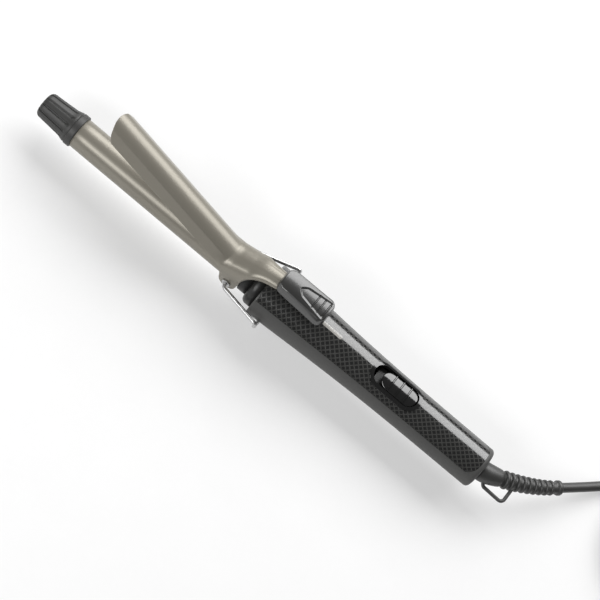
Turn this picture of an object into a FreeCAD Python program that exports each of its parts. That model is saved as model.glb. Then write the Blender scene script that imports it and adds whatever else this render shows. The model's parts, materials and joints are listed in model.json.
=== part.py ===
import FreeCAD, Part
import math
import os
from FreeCAD import Rotation, Vector

# A curling iron. Sizes are in millimetres. Inside this file every shape is made in the iron's own
# layout: X runs from the cool tip (0) towards the cord, Z is up from the barrel's axis and Y is the
# clamp's hinge line. save() then moves each shape so that the origin is under the middle of the
# iron, on the surface that it stands on.

# ---- driving dimensions -------------------------------------------------------------------------
BARREL_RADIUS = 9.5
BARREL_WALL = 0.6
BARREL_START = 23.5
BARREL_END = 171.0

TIP_LENGTH = 26.7
TIP_COLLAR_RADIUS = 10.55
TIP_PROFILE = ((0.0, 0.0), (0.0, 5.2), (0.9, 6.9), (3.0, 8.2), (14.6, 8.9), (21.6, 9.6), (22.6, 10.0),
               (23.2, TIP_COLLAR_RADIUS), (26.1, TIP_COLLAR_RADIUS), (TIP_LENGTH, 10.0),
               (TIP_LENGTH, 0.0))
TIP_SPIGOT_END = 34.0
TIP_BORE = 6.5
TIP_FLUTES = 12
TIP_FLUTE_WIDTH = 1.7
TIP_FLUTE_PROFILE = ((-1.0, 6.4), (3.0, 7.4), (21.4, 8.9), (21.4, 12.0), (-1.0, 12.0))

HEATER_START = 56.0
HEATER_END = 124.0
HEATER_HALF_WIDTH = 3.2
HEATER_HALF_THICKNESS = 1.4
SPREADER_START = 54.0
SPREADER_END = 128.0
SPREADER_LOW = 1.5
INSULATOR_START = 36.0
INSULATOR_END = 39.0
HEATER_LEAD_RADIUS = 0.9
HEATER_LEAD_Y = 5.2
HEATER_LEAD_END = 244.0
FUSE_START = 186.0
FUSE_END = 196.0
FUSE_HALF = 1.6

PIVOT_X = 146.7
PIVOT_Z = -2.5
CLAMP_OPEN_DEG = 20.0
CLAMP_TIP_X = 32.9
CLAMP_RADIUS = 11.2
CLAMP_WALL = 0.75
CLAMP_CREASE_DEG = 38.0
CLAMP_FLANK_DEG = 57.0
CLAMP_FLANK = 7.0
CLAMP_TROUGH_END = 139.0
CLAMP_NOSE_SETBACK = 5.9
EAR_RADIUS = 6.0
EAR_FACE_Y = 11.65
EAR_FOOT_Z = -12.0
ARM_WALL = 0.9
ARM_END = 171.5
SADDLE_START = 134.5
SADDLE_STATIONS = ((SADDLE_START, 11.4, 16.7, 6.0), (141.0, EAR_FACE_Y, 15.4, 5.5),
                   (147.0, EAR_FACE_Y, 16.6, 5.2), (153.0, EAR_FACE_Y, 19.6, 4.8),
                   (158.5, 9.2, 22.6, 3.8), (164.5, 7.4, 24.5, 2.8), (ARM_END, 7.0, 25.6, 2.4))
SADDLE_FRONT = ((SADDLE_START, 7.6), (138.8, 4.2))
SADDLE_REAR = ((154.6, 14.6), (160.0, 18.2))
SADDLE_REAR_Z = 9.0
ARM_LOW_Z = 21.6
STRIP_START = 169.0
STRIP_END = 199.0
STRIP_HALF_WIDTH = 5.5
STRIP_THICKNESS = 1.2
STRIP_TOP_Z = 25.6
STRIP_HOLE = 1.3

SPRING_OUTLINE = ((151.5, 10.4), (142.8, 10.4), (142.3, 11.1), (150.6, 16.5), (150.9, 16.1),
                  (143.3, 11.1), (143.4, 10.9), (151.5, 10.9))
SPRING_HALF_WIDTH = 2.5

BRACKET_START = 141.0
BRACKET_END = 152.5
BRACKET_RADIUS = 10.2
RIVET_RADIUS = 1.9
RIVET_BORE = 1.3
RIVET_INNER_Y = 9.75
RIVET_HEAD_RADIUS = 2.75
RIVET_HEAD_THICKNESS = 0.6

WIRE_RADIUS = 1.2
WIRE_BEND = 2.2
STAND_HOOK_Y = 9.9
STAND_LEG_Y = 15.0
STAND_FOOT_X = 175.0
STAND_CORNER_Y = 22.3
STAND_CORNER_Z = 2.6
STAND_SIDE_Y = 21.9
STAND_SIDE_Z = 0.0
STAND_FOOT_DEPTH = 18.9

COLLAR_START = 153.0
COLLAR_RADIUS = 10.3
COLLAR_ROUND = 0.5
HANDLE_COLLAR_START = 159.0
HANDLE_COLLAR_RADIUS = 14.1
HANDLE_COLLAR_ROUND = 3.4
CARRIER_NECK_RADIUS = 12.9
CARRIER_NECK_END = 169.0
CARRIER_FLANGE_START = 168.2
CARRIER_FLANGE_END = 180.0
CARRIER_FLANGE_RADIUS = 14.0
HANDLE_START = 165.8
HANDLE_END = 327.9
HANDLE_WALL = 2.2
HANDLE_PROFILE = ((166.8, 17.5), (188.0, 16.4), (216.0, 15.0), (248.0, 13.85), (285.0, 13.35),
                  (325.4, 13.2))
HANDLE_FRONT_CHAMFER = 0.8
HANDLE_REAR_ROUND = 2.5
HANDLE_REAR_BULGE = (0.72, 0.3)
HANDLE_MOUTH = 13.0
HANDLE_CORD_HOLE = 5.2
PANEL_HALF_DEG = 55.0
PANEL_END = 325.0
PANEL_CORNER = 7.0
PANEL_REAR_HALF_WIDTH = 11.2
PANEL_REACH = 45.0
SHELL_SEAM = 0.12
HANDLE_SCREWS = (222.0, 284.0)
HANDLE_BOSS_RADIUS = 2.6
HANDLE_BOSS_TOP = -5.0
HANDLE_SCREW_RADIUS = 1.25
HANDLE_SCREW_TOP = -3.0
HANDLE_SCREW_HEAD = 2.5
HANDLE_SCREW_SEAT = -11.0
HANDLE_SCREW_LOW = -12.4
HANDLE_SCREW_CAP = 0.2
SCREW_SLOT_HALF = 0.4
SCREW_SLOT_DEPTH = 0.5
SCREW_CLEARANCE = 0.1

SWITCH_START = 241.6
SWITCH_END = 276.7
SWITCH_HALF_WIDTH = 8.3
SWITCH_RIM = 2.1
SWITCH_LIP = 0.5
SWITCH_RISE = 0.7
SWITCH_WALL_RISE = 0.3
SLIDER_LENGTH = 24.5
SLIDER_GAP = 0.45
SLIDER_SINK = 0.2
SLIDER_DEPTH = 1.9
GRIP_PITCH = 6.0
GRIP_HALF_WIDTH = 1.1
GRIP_INSET = 0.6
GRIP_ROOT = 0.6
STEM_HALF_LENGTH = 2.0
STEM_HALF_WIDTH = 1.4
STEM_LOW_Z = 4.0
STEM_TOP_Z = 12.4
HOUSING_X = (246.0, 274.0)
HOUSING_HALF_WIDTH = 5.5
HOUSING_Z = (-3.0, 8.5)
HOUSING_SLOT_X = (252.0, 265.0)
HOUSING_SLOT_HALF_WIDTH = 1.9
HOUSING_SLOT_LOW_Z = 3.2
TERMINALS_X = (248.0, 258.5, 269.0)
TERMINAL_LENGTH = 3.0
TERMINAL_HALF_THICKNESS = 0.4
TERMINAL_LOW_Z = -7.0

LENS_START = 200.0
LENS_END = 218.0
LENS_RADIUS = 1.15
LENS_RISE = 0.2
LAMP_X = (203.0, 213.0)
LAMP_RADIUS = 2.4
LAMP_ROUND = 1.6
LAMP_Z = 8.2

INNER_LEAD_X = (275.0, 321.0)
INNER_LEAD_RADIUS = 1.1
INNER_LEAD_Y = 2.4
GRIP_BAR_X = (306.0, 312.0)
GRIP_BAR_HALF_WIDTH = 9.0
GRIP_BAR_Z = (1.4, 4.4)
GRIP_SCREW_Y = 6.8
GRIP_SCREW_RADIUS = 1.2
GRIP_SCREW_HEAD = 2.1
GRIP_SCREW_TOP = 5.8
GRIP_SCREW_LOW = -5.0

THUMB_START = 170.0
THUMB_END = 204.0
THUMB_BOTTOM_Z = 24.6
THUMB_TOP_Z = 31.6
THUMB_SECTIONS = ((THUMB_START, 8.0, 6.4, THUMB_TOP_Z - 0.9), (180.0, 8.6, 6.9, THUMB_TOP_Z),
                  (THUMB_END, 9.1, 7.2, THUMB_TOP_Z - 1.2))
THUMB_WAIST = 1.6
THUMB_FLARE = 0.3
THUMB_CROWN = 0.5
THUMB_PLAN_RADIUS = 9.3
THUMB_SQUARE_END = 198.0
THUMB_DISH_RADIUS = 90.0
THUMB_DISH_DEPTH = 1.0
THUMB_DISH_X = 186.0
THUMB_GROOVES = (193.2, 197.2, 201.0)
THUMB_GROOVE_RADIUS = 0.8
THUMB_GROOVE_HALF = 5.0
THUMB_GROOVE_LIFT = 0.3
THUMB_HOLLOW_END = 201.5
THUMB_HOLLOW_HALF = 7.4
THUMB_HOLLOW_TOP = 27.4
THUMB_SCREWS = (178.0, 193.0)
THUMB_BOSS_RADIUS = 2.8
THUMB_HOLE_RADIUS = 1.15
THUMB_HOLE_TOP = 28.9
THUMB_SCREW_RADIUS = 1.1
THUMB_SCREW_TOP = 28.7
THUMB_SCREW_HEAD = 2.2
THUMB_SCREW_HEAD_HEIGHT = 1.2

CORD_RADIUS = 3.0
BOOT_RADIUS = 6.4
BOOT_WALL = 1.1
BOOT_SLEEVE = 14.0
BOOT_SLEEVE_STEP = 0.4
BOOT_ROOT_X = 2.2
BOOT_ANCHOR_LENGTH = 4.0
BOOT_ANCHOR_RADIUS = 7.0
BOOT_RIBS = 10
BOOT_RIB_PITCH = 3.85
BOOT_RIB_WIDTH = 1.9
BOOT_RIB_GAP = 1.4
BOOT_RIB_RADII = (5.6, 4.5)
BOOT_ROOT_BEND = (12.0, 23.0)
BOOT_LONG_BEND = (115.0, 24.7)
BOOT_DROOP_DEG = 18.4
CORD_ROUTE = ((382.4, 38.0, -12.6), (393.4, 49.6, -15.8), (407.0, 63.8, -17.0))
TAIL_ROUTE = ((493.7, 58.9, -12.6), (498.0, 47.6, -13.9))
RUN_SHARE = 0.45

LOOP_REACH = 22.8
LOOP_WIRE_RADIUS = 1.1
LOOP_BENDS = (1.6, 2.8)
LOOP_ROUTE = ((4.2, -2.4, -2.2), (7.4, -5.8, -3.2), (LOOP_REACH - LOOP_WIRE_RADIUS, -6.0, -3.8),
              (LOOP_REACH - LOOP_WIRE_RADIUS, 4.2, -3.4))

COIL_TURNS_PER_LAYER = 4
COIL_LAYERS = 2
COIL_OUTER_TURN = 42.5
COIL_TURN_PITCH = 6.2
COIL_LAYER_PITCH = 6.0
COIL_CENTRE = (450.9, 48.0)
COIL_EXIT_DEG = 30.0
COIL_ROUND = 2.4
TIE_THICKNESS = 0.6
TIE_WIDTH = 6.0
TIE_OUTER_ROOM = 0.15
TIE_INNER_ROOM = 0.35

PLUG_X = 500.0
PLUG_Y = 28.0
PLUG_SLEEVE = 8.0
PLUG_LENGTH = 32.0
PLUG_WIDTH = 34.0
PLUG_HEIGHT = 13.7
PLUG_CORNER = 3.4
PLUG_SECTIONS = ((0.0, 6.0, 4.6), (9.0, 9.5, 5.6), (20.0, 16.0, PLUG_HEIGHT / 2.0),
                 (PLUG_LENGTH, PLUG_WIDTH / 2.0, PLUG_HEIGHT / 2.0))
PLUG_SLEEVE_RADII = (3.9, 4.5)
PLUG_SLEEVE_OVERLAP = 0.6
PIN_RADIUS = 2.0
PIN_LENGTH = 19.0
PIN_SPACING = 18.4
PIN_ROUND = 1.2

# ---- sizes worked out from them -----------------------------------------------------------------
FULL_TURN = 360.0
DIAGONAL = math.sqrt(0.5)
FIT = 0.05
GAP = 0.3
OVERLAP = 1.0
FAR = 60.0
AXIS_HEIGHT = STAND_FOOT_DEPTH + WIRE_RADIUS
FLOOR_Z = -AXIS_HEIGHT
MIDDLE_X = (HANDLE_END + LOOP_REACH) / 2.0
BARREL_BORE = BARREL_RADIUS - BARREL_WALL
BOOT_ROOT_LENGTH = BOOT_ROOT_BEND[0] * math.radians(BOOT_ROOT_BEND[1])
BOOT_LENGTH = BOOT_ROOT_LENGTH + BOOT_LONG_BEND[0] * math.radians(BOOT_LONG_BEND[1])
COIL_LOW = FLOOR_Z + TIE_THICKNESS + FIT
COIL_HEIGHT = COIL_LAYER_PITCH * (COIL_LAYERS - 1) + 2 * CORD_RADIUS
COIL_OUT = COIL_OUTER_TURN + CORD_RADIUS
COIL_IN = COIL_OUTER_TURN - COIL_TURN_PITCH * (COIL_TURNS_PER_LAYER - 1) - CORD_RADIUS
LOW_TURN_Z = COIL_LOW + CORD_RADIUS
HIGH_TURN_Z = LOW_TURN_Z + COIL_LAYER_PITCH * (COIL_LAYERS - 1)
PLUG_Z = FLOOR_Z + PLUG_HEIGHT / 2.0
X_AXIS = Vector(1, 0, 0)
Y_AXIS = Vector(0, 1, 0)
Z_AXIS = Vector(0, 0, 1)
ORIGIN = Vector(0, 0, 0)


# ---- small builders -----------------------------------------------------------------------------
def save(name, shape):
    """Write one sub-part, moved into the iron's finished frame."""
    placed = shape.copy()
    placed.translate(Vector(-MIDDLE_X, 0, AXIS_HEIGHT))
    if not placed.isValid():
        print("not valid:", name)
    placed.exportStep("parts/" + name + ".step")


def rod(start, end, radius):
    """Round bar along the iron's axis."""
    return Part.makeCylinder(radius, end - start, Vector(start, 0, 0), X_AXIS)


def tube(start, end, radius, bore):
    """Round tube along the iron's axis."""
    return rod(start, end, radius).cut(rod(start, end, bore))


def cross_rod(y_start, y_end, radius, x, z):
    """Round bar parallel to the hinge line."""
    return Part.makeCylinder(radius, y_end - y_start, Vector(x, y_start, z), Y_AXIS)


def post(x, y, z_start, z_end, radius):
    """Upright round bar."""
    return Part.makeCylinder(radius, z_end - z_start, Vector(x, y, z_start), Z_AXIS)


def block(x, y, z):
    """Box from (low, high) pairs."""
    size = (x[1] - x[0], y[1] - y[0], z[1] - z[0])
    return Part.makeBox(*size, Vector(x[0], y[0], z[0]))


def polygon(points):
    """Flat face inside straight edges through the points."""
    return Part.Face(Part.makePolygon(points + points[:1]))


def side_sheet(outline, half_width):
    """Solid with an (x, z) outline, as wide each way from the middle as half_width."""
    face = polygon([Vector(x, -half_width, z) for x, z in outline])
    return face.extrude(Vector(0, 2 * half_width, 0))


def turned(outline):
    """Solid turned about the axis, from (x, radius) corners."""
    points = [Vector(x, 0, radius) for x, radius in outline]
    return polygon(points).revolve(ORIGIN, X_AXIS, FULL_TURN)


def stadium(start, end, half_width, z_start, z_end):
    """Upright prism with a round-ended plan along X."""
    height = z_end - z_start
    front = post(start + half_width, 0, z_start, z_end, half_width)
    rear = post(end - half_width, 0, z_start, z_end, half_width)
    middle = Part.makeBox(end - start - 2 * half_width, 2 * half_width, height,
                          Vector(start + half_width, -half_width, z_start))
    return front.fuse([rear, middle]).removeSplitter()


def rounded(shape, radius, wanted):
    """Fillet the edges that wanted() picks."""
    edges = [edge for edge in shape.Edges if wanted(edge)]
    return shape.makeFillet(radius, edges)


def opened(shape):
    """Turn a shape made for the closed clamp to the open pose."""
    turned_shape = shape.copy()
    turned_shape.rotate(Vector(PIVOT_X, 0, PIVOT_Z), Y_AXIS, CLAMP_OPEN_DEG)
    return turned_shape


def bend_radii(points):
    """Largest tangent radius at each inner point: a share of the shorter run over tan(half the turn)."""
    radii = []
    for before, corner, after in zip(points, points[1:], points[2:]):
        run_in = corner - before
        run_out = after - corner
        half = run_in.getAngle(run_out) / 2.0
        radii.append(RUN_SHARE * min(run_in.Length, run_out.Length) / math.tan(half))
    return radii


def rounded_path(points, radii):
    """Straight runs joined by tangent arcs, as one wire."""
    edges = []
    last = points[0]
    for before, corner, after, radius in zip(points, points[1:], points[2:], radii):
        back = (before - corner).normalize()
        ahead = (after - corner).normalize()
        half = (math.pi - back.getAngle(ahead)) / 2.0
        setback = radius * math.tan(half)
        inward = (back + ahead).normalize()
        first = corner + back * setback
        middle = corner + inward * (radius / math.cos(half) - radius)
        final = corner + ahead * setback
        edges.append(Part.LineSegment(last, first).toShape())
        edges.append(Part.Arc(first, middle, final).toShape())
        last = final
    edges.append(Part.LineSegment(last, points[-1]).toShape())
    return Part.Wire(edges)


def swept(path, radius):
    """Round bar along a wire."""
    start = path.OrderedEdges[0]
    point = start.valueAt(start.FirstParameter)
    heading = start.tangentAt(start.FirstParameter)
    circle = Part.Wire(Part.Circle(point, heading, radius).toShape())
    return path.makePipeShell([circle], True, False)


# ---- barrel and tip -----------------------------------------------------------------------------
def cool_tip():
    """Tapered heat-resistant cap with lengthwise flutes, a collar and a spigot inside the barrel."""
    cap = turned(TIP_PROFILE)
    cap = cap.cut(tube(BARREL_START, TIP_LENGTH, BARREL_RADIUS + FIT, BARREL_BORE - FIT))
    cap = cap.fuse(rod(TIP_LENGTH - OVERLAP, TIP_SPIGOT_END, BARREL_BORE - FIT))
    flute = side_sheet(TIP_FLUTE_PROFILE, TIP_FLUTE_WIDTH / 2.0)
    for step in range(TIP_FLUTES):
        cutter = flute.copy()
        cutter.rotate(ORIGIN, X_AXIS, step * FULL_TURN / TIP_FLUTES)
        cap = cap.cut(cutter)
    return cap.cut(rod(BARREL_START + OVERLAP / 2.0, TIP_SPIGOT_END + OVERLAP, TIP_BORE))


def heat_spreader(side):
    """Half-round aluminium bar that presses the heater against the barrel; side is +1 or -1."""
    bar = rod(SPREADER_START, SPREADER_END, BARREL_BORE - FIT)
    height = (SPREADER_LOW, FAR) if side > 0 else (-FAR, -SPREADER_LOW)
    return bar.common(block((SPREADER_START, SPREADER_END), (-FAR, FAR), height))


def side_pair(shape, y):
    """The shape twice, moved y each way from the middle."""
    far = shape.copy()
    far.translate(Vector(0, y, 0))
    near = shape.copy()
    near.translate(Vector(0, -y, 0))
    return Part.makeCompound([near, far])


def ceramic_heater():
    """Flat ceramic heater between the two spreaders."""
    return block((HEATER_START, HEATER_END), (-HEATER_HALF_WIDTH, HEATER_HALF_WIDTH),
                 (-HEATER_HALF_THICKNESS, HEATER_HALF_THICKNESS))


def heater_leads():
    """Two insulated wires from the heater back to the switch."""
    return side_pair(rod(HEATER_END + GAP, HEATER_LEAD_END, HEATER_LEAD_RADIUS), HEATER_LEAD_Y)


def thermal_fuse():
    """Small fuse on the heater's supply."""
    return block((FUSE_START, FUSE_END), (-FUSE_HALF, FUSE_HALF), (-FUSE_HALF, FUSE_HALF))


# ---- clamp --------------------------------------------------------------------------------------
def trough_outline(inset):
    """Crease and edge of the clamp's section, as (y, z), inset from the outer face."""
    crease = math.radians(CLAMP_CREASE_DEG)
    flank = math.radians(CLAMP_FLANK_DEG)
    radius = CLAMP_RADIUS - inset
    top = Vector(0, radius, 0)
    crease_point = Vector(radius * math.sin(crease), radius * math.cos(crease), 0)
    edge_point = crease_point + Vector(math.cos(flank), -math.sin(flank), 0) * CLAMP_FLANK
    return top, crease_point, edge_point


def trough():
    """The clamp's long shell: an arc over the barrel with a creased flat flank on each side."""
    start = CLAMP_TIP_X
    end = CLAMP_TROUGH_END

    def place(point, side):
        return Vector(start, side * point.x, point.y)

    outer_top, outer_crease, outer_edge = trough_outline(0.0)
    inner_top, inner_crease, inner_edge = trough_outline(CLAMP_WALL)
    edges = [
        Part.Arc(place(outer_crease, -1), place(outer_top, 1), place(outer_crease, 1)).toShape(),
        Part.LineSegment(place(outer_crease, 1), place(outer_edge, 1)).toShape(),
        Part.LineSegment(place(outer_edge, 1), place(inner_edge, 1)).toShape(),
        Part.LineSegment(place(inner_edge, 1), place(inner_crease, 1)).toShape(),
        Part.Arc(place(inner_crease, 1), place(inner_top, 1), place(inner_crease, -1)).toShape(),
        Part.LineSegment(place(inner_crease, -1), place(inner_edge, -1)).toShape(),
        Part.LineSegment(place(inner_edge, -1), place(outer_edge, -1)).toShape(),
        Part.LineSegment(place(outer_edge, -1), place(outer_crease, -1)).toShape(),
    ]
    shell = Part.Face(Part.Wire(edges)).extrude(Vector(end - start, 0, 0))
    setback = CLAMP_NOSE_SETBACK
    nose_radius = (outer_edge.x ** 2 + setback ** 2) / (2 * setback)
    plan = post(start + nose_radius, 0, -FAR, FAR, nose_radius)
    plan = plan.fuse(block((start + setback, end + OVERLAP), (-FAR, FAR), (-FAR, FAR)))
    return shell.common(plan)


def hood_section(x, half_width, top, corner):
    """Arched section of the saddle: upright sides, rounded shoulders and a flat crown."""
    low = EAR_FOOT_Z
    shoulder = corner * (1.0 - DIAGONAL)
    left_foot = Vector(x, -half_width, low)
    left_side = Vector(x, -half_width, top - corner)
    left_mid = Vector(x, -half_width + shoulder, top - shoulder)
    left_top = Vector(x, -half_width + corner, top)
    right_top = Vector(x, half_width - corner, top)
    right_mid = Vector(x, half_width - shoulder, top - shoulder)
    right_side = Vector(x, half_width, top - corner)
    right_foot = Vector(x, half_width, low)
    edges = [
        Part.LineSegment(left_foot, left_side).toShape(),
        Part.Arc(left_side, left_mid, left_top).toShape(),
        Part.LineSegment(left_top, right_top).toShape(),
        Part.Arc(right_top, right_mid, right_side).toShape(),
        Part.LineSegment(right_side, right_foot).toShape(),
        Part.LineSegment(right_foot, left_foot).toShape(),
    ]
    return Part.Wire(edges)


def saddle():
    """Folded saddle with the two ears, which narrows as it rises into the arm."""
    outer = Part.makeLoft([hood_section(*station) for station in SADDLE_STATIONS], True, False)
    inset = [(x, half - ARM_WALL, top - ARM_WALL, corner - ARM_WALL / 2.0)
             for x, half, top, corner in SADDLE_STATIONS]
    inner = Part.makeLoft([hood_section(*station) for station in inset], True, False)
    hood = outer.cut(inner)

    def at(x, z):
        return Vector(x, -FAR, z)

    front = at(PIVOT_X - EAR_RADIUS, PIVOT_Z)
    rear = at(PIVOT_X + EAR_RADIUS, PIVOT_Z)
    front_top, front_mid = [at(*point) for point in SADDLE_FRONT]
    rear_mid, rear_top = [at(*point) for point in SADDLE_REAR]
    rear_side = at(PIVOT_X + EAR_RADIUS, SADDLE_REAR_Z)
    arm_low = at(ARM_END, ARM_LOW_Z)
    arm_top = at(ARM_END, FAR)
    start_top = at(SADDLE_START, FAR)
    outline = [
        Part.LineSegment(start_top, front_top).toShape(),
        Part.Arc(front_top, front_mid, front).toShape(),
        Part.Arc(front, at(PIVOT_X, PIVOT_Z - EAR_RADIUS), rear).toShape(),
        Part.LineSegment(rear, rear_side).toShape(),
        Part.Arc(rear_side, rear_mid, rear_top).toShape(),
        Part.LineSegment(rear_top, arm_low).toShape(),
        Part.LineSegment(arm_low, arm_top).toShape(),
        Part.LineSegment(arm_top, start_top).toShape(),
    ]
    profile = Part.Face(Part.Wire(outline)).extrude(Vector(0, 2 * FAR, 0))
    return hood.common(profile)


def clamp_shell():
    """Pressed clamp: trough, saddle with pivot ears, arm, and the strip that carries the thumb rest."""
    strip_low = STRIP_TOP_Z - STRIP_THICKNESS
    strip = block((STRIP_START, STRIP_END), (-STRIP_HALF_WIDTH, STRIP_HALF_WIDTH),
                  (strip_low, STRIP_TOP_Z))
    shell = opened(trough()).fuse([saddle(), strip])
    holes = [cross_rod(-FAR, FAR, RIVET_RADIUS + FIT, PIVOT_X, PIVOT_Z)]
    holes += [post(x, 0, strip_low - OVERLAP, STRIP_TOP_Z + OVERLAP, STRIP_HOLE)
              for x in THUMB_SCREWS]
    return shell.cut(holes)


def thumb_section(x, bottom_half, top_half, top):
    """Cross-section of the thumb rest: flared skirt below a slightly crowned top."""
    waist_z = top - THUMB_WAIST
    waist = top_half + THUMB_FLARE
    crown = Vector(x, 0, top + THUMB_CROWN)
    half = [Vector(x, top_half, top), Vector(x, waist, waist_z), Vector(x, bottom_half, THUMB_BOTTOM_Z)]
    points = half + [Vector(x, -point.y, point.z) for point in reversed(half)]
    edges = [Part.LineSegment(a, b).toShape() for a, b in zip(points, points[1:])]
    edges.append(Part.Arc(points[-1], crown, points[0]).toShape())
    return Part.Wire(edges)


def thumb_rest():
    """Moulded thumb rest with a dished top, three cross grooves and two screw bosses below."""
    body = Part.makeLoft([thumb_section(*section) for section in THUMB_SECTIONS], True, False)
    plan = stadium(THUMB_START - OVERLAP, THUMB_END, THUMB_PLAN_RADIUS, 0, FAR)
    plan = plan.fuse(block((THUMB_START, THUMB_SQUARE_END), (-FAR, FAR), (0, FAR)))
    body = body.common(plan)
    dish_z = THUMB_TOP_Z + THUMB_DISH_RADIUS - THUMB_DISH_DEPTH
    body = body.cut(Part.makeSphere(THUMB_DISH_RADIUS, Vector(THUMB_DISH_X, 0, dish_z)))
    for x in THUMB_GROOVES:
        body = body.cut(cross_rod(-THUMB_GROOVE_HALF, THUMB_GROOVE_HALF, THUMB_GROOVE_RADIUS, x,
                                  THUMB_TOP_Z - THUMB_GROOVE_LIFT))
    body = body.cut(block((THUMB_START - OVERLAP, THUMB_HOLLOW_END),
                          (-THUMB_HOLLOW_HALF, THUMB_HOLLOW_HALF),
                          (THUMB_BOTTOM_Z - OVERLAP, THUMB_HOLLOW_TOP)))
    bosses = [post(x, 0, STRIP_TOP_Z + FIT, THUMB_HOLLOW_TOP + GAP, THUMB_BOSS_RADIUS)
              for x in THUMB_SCREWS]
    holes = [post(x, 0, STRIP_TOP_Z - OVERLAP, THUMB_HOLE_TOP, THUMB_HOLE_RADIUS)
             for x in THUMB_SCREWS]
    return body.fuse(bosses).cut(holes)


def thumb_rest_screws():
    """Two pan-head screws driven up through the strip into the thumb rest."""
    seat = STRIP_TOP_Z - STRIP_THICKNESS - FIT
    screws = []
    for x in THUMB_SCREWS:
        head = post(x, 0, seat - THUMB_SCREW_HEAD_HEIGHT, seat, THUMB_SCREW_HEAD)
        shank = post(x, 0, seat - THUMB_SCREW_HEAD_HEIGHT / 2.0, THUMB_SCREW_TOP, THUMB_SCREW_RADIUS)
        screws.append(head.fuse(shank).removeSplitter())
    return Part.makeCompound(screws)


def clamp_spring():
    """Folded leaf spring between the bracket's crown and the saddle."""
    return side_sheet(SPRING_OUTLINE, SPRING_HALF_WIDTH)


# ---- pivot, stand and collars -------------------------------------------------------------------
def pivot_bracket():
    """Steel sleeve round the barrel that carries the two rivets."""
    sleeve = tube(BRACKET_START, BRACKET_END, BRACKET_RADIUS, BARREL_RADIUS + FIT)
    return sleeve.cut(cross_rod(-FAR, FAR, RIVET_RADIUS + FIT, PIVOT_X, PIVOT_Z))


def pivot_rivets():
    """Two tubular rivets: the clamp's ears turn on them and the stand's ends sit in their bores."""
    seat = EAR_FACE_Y + GAP
    shank = cross_rod(RIVET_INNER_Y, seat + RIVET_HEAD_THICKNESS / 2.0, RIVET_RADIUS, PIVOT_X, PIVOT_Z)
    head = cross_rod(seat, seat + RIVET_HEAD_THICKNESS, RIVET_HEAD_RADIUS, PIVOT_X, PIVOT_Z)
    far = shank.fuse(head).cut(cross_rod(0, FAR, RIVET_BORE, PIVOT_X, PIVOT_Z))
    near = far.mirror(ORIGIN, Y_AXIS)
    return Part.makeCompound([near, far])


def stand_wire():
    """Chrome wire stand: hooked ends, two splayed legs and a foot bowed under the handle."""
    hook = Vector(PIVOT_X, STAND_HOOK_Y, PIVOT_Z)
    elbow = Vector(PIVOT_X, STAND_LEG_Y, PIVOT_Z)
    corner = Vector(STAND_FOOT_X, STAND_CORNER_Y, STAND_CORNER_Z)
    side = Vector(STAND_FOOT_X, STAND_SIDE_Y, STAND_SIDE_Z)
    bottom = Vector(STAND_FOOT_X, 0, -STAND_FOOT_DEPTH)
    near = [Vector(point.x, -point.y, point.z) for point in (side, corner, elbow, hook)]
    bends = [WIRE_BEND, WIRE_BEND]
    far_leg = rounded_path([hook, elbow, corner, side], bends)
    bow = Part.Arc(side, bottom, near[0]).toShape()
    near_leg = rounded_path(near, bends)
    return swept(Part.Wire(far_leg.OrderedEdges + [bow] + near_leg.OrderedEdges), WIRE_RADIUS)


def barrel_collar():
    """Small heat-resistant ring with a rounded nose, pushed up against the bracket."""
    ring = tube(COLLAR_START, HANDLE_COLLAR_START - FIT, COLLAR_RADIUS, BARREL_RADIUS + FIT)
    return rounded(ring, COLLAR_ROUND, lambda edge: edge.BoundBox.XMax < COLLAR_START + FIT
                   and edge.BoundBox.ZMax > COLLAR_RADIUS - FIT)


def handle_collar():
    """Heat-resistant carrier: the visible collar, and a spigot that holds the barrel in the handle."""
    collar = tube(HANDLE_COLLAR_START, HANDLE_START - FIT, HANDLE_COLLAR_RADIUS, BARREL_RADIUS + FIT)
    collar = rounded(collar, HANDLE_COLLAR_ROUND,
                     lambda edge: edge.BoundBox.XMax < HANDLE_COLLAR_START + FIT
                     and edge.BoundBox.ZMax > HANDLE_COLLAR_RADIUS - FIT)
    neck = tube(HANDLE_START - OVERLAP, CARRIER_NECK_END, CARRIER_NECK_RADIUS, BARREL_RADIUS + FIT)
    flange = tube(CARRIER_FLANGE_START, CARRIER_FLANGE_END, CARRIER_FLANGE_RADIUS,
                  BARREL_RADIUS + FIT)
    return collar.fuse([neck, flange]).removeSplitter()


# ---- handle -------------------------------------------------------------------------------------
def handle_form(inset, start, end):
    """Solid of the handle's outer form, taken in by inset."""
    curve = Part.BSplineCurve()
    curve.interpolate([Vector(x, 0, radius - inset) for x, radius in HANDLE_PROFILE])
    first = Vector(HANDLE_PROFILE[0][0], 0, HANDLE_PROFILE[0][1] - inset)
    last = Vector(HANDLE_PROFILE[-1][0], 0, HANDLE_PROFILE[-1][1] - inset)
    front_axis = Vector(start, 0, 0)
    front_edge = Vector(start, 0, first.z - HANDLE_FRONT_CHAMFER)
    rear_axis = Vector(end, 0, 0)
    rear_edge = Vector(end, 0, last.z - HANDLE_REAR_ROUND)
    along, down = HANDLE_REAR_BULGE
    rear_mid = Vector(last.x + (end - last.x) * along, 0, last.z - HANDLE_REAR_ROUND * down)
    edges = [
        Part.LineSegment(front_axis, front_edge).toShape(),
        Part.LineSegment(front_edge, first).toShape(),
        curve.toShape(),
        Part.Arc(last, rear_mid, rear_edge).toShape(),
        Part.LineSegment(rear_edge, rear_axis).toShape(),
        Part.LineSegment(rear_axis, front_axis).toShape(),
    ]
    return Part.Face(Part.Wire(edges)).revolve(ORIGIN, X_AXIS, FULL_TURN)


def handle_hollow():
    """The room inside the handle."""
    return handle_form(HANDLE_WALL, HANDLE_START + HANDLE_WALL, HANDLE_END - HANDLE_WALL)


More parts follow.
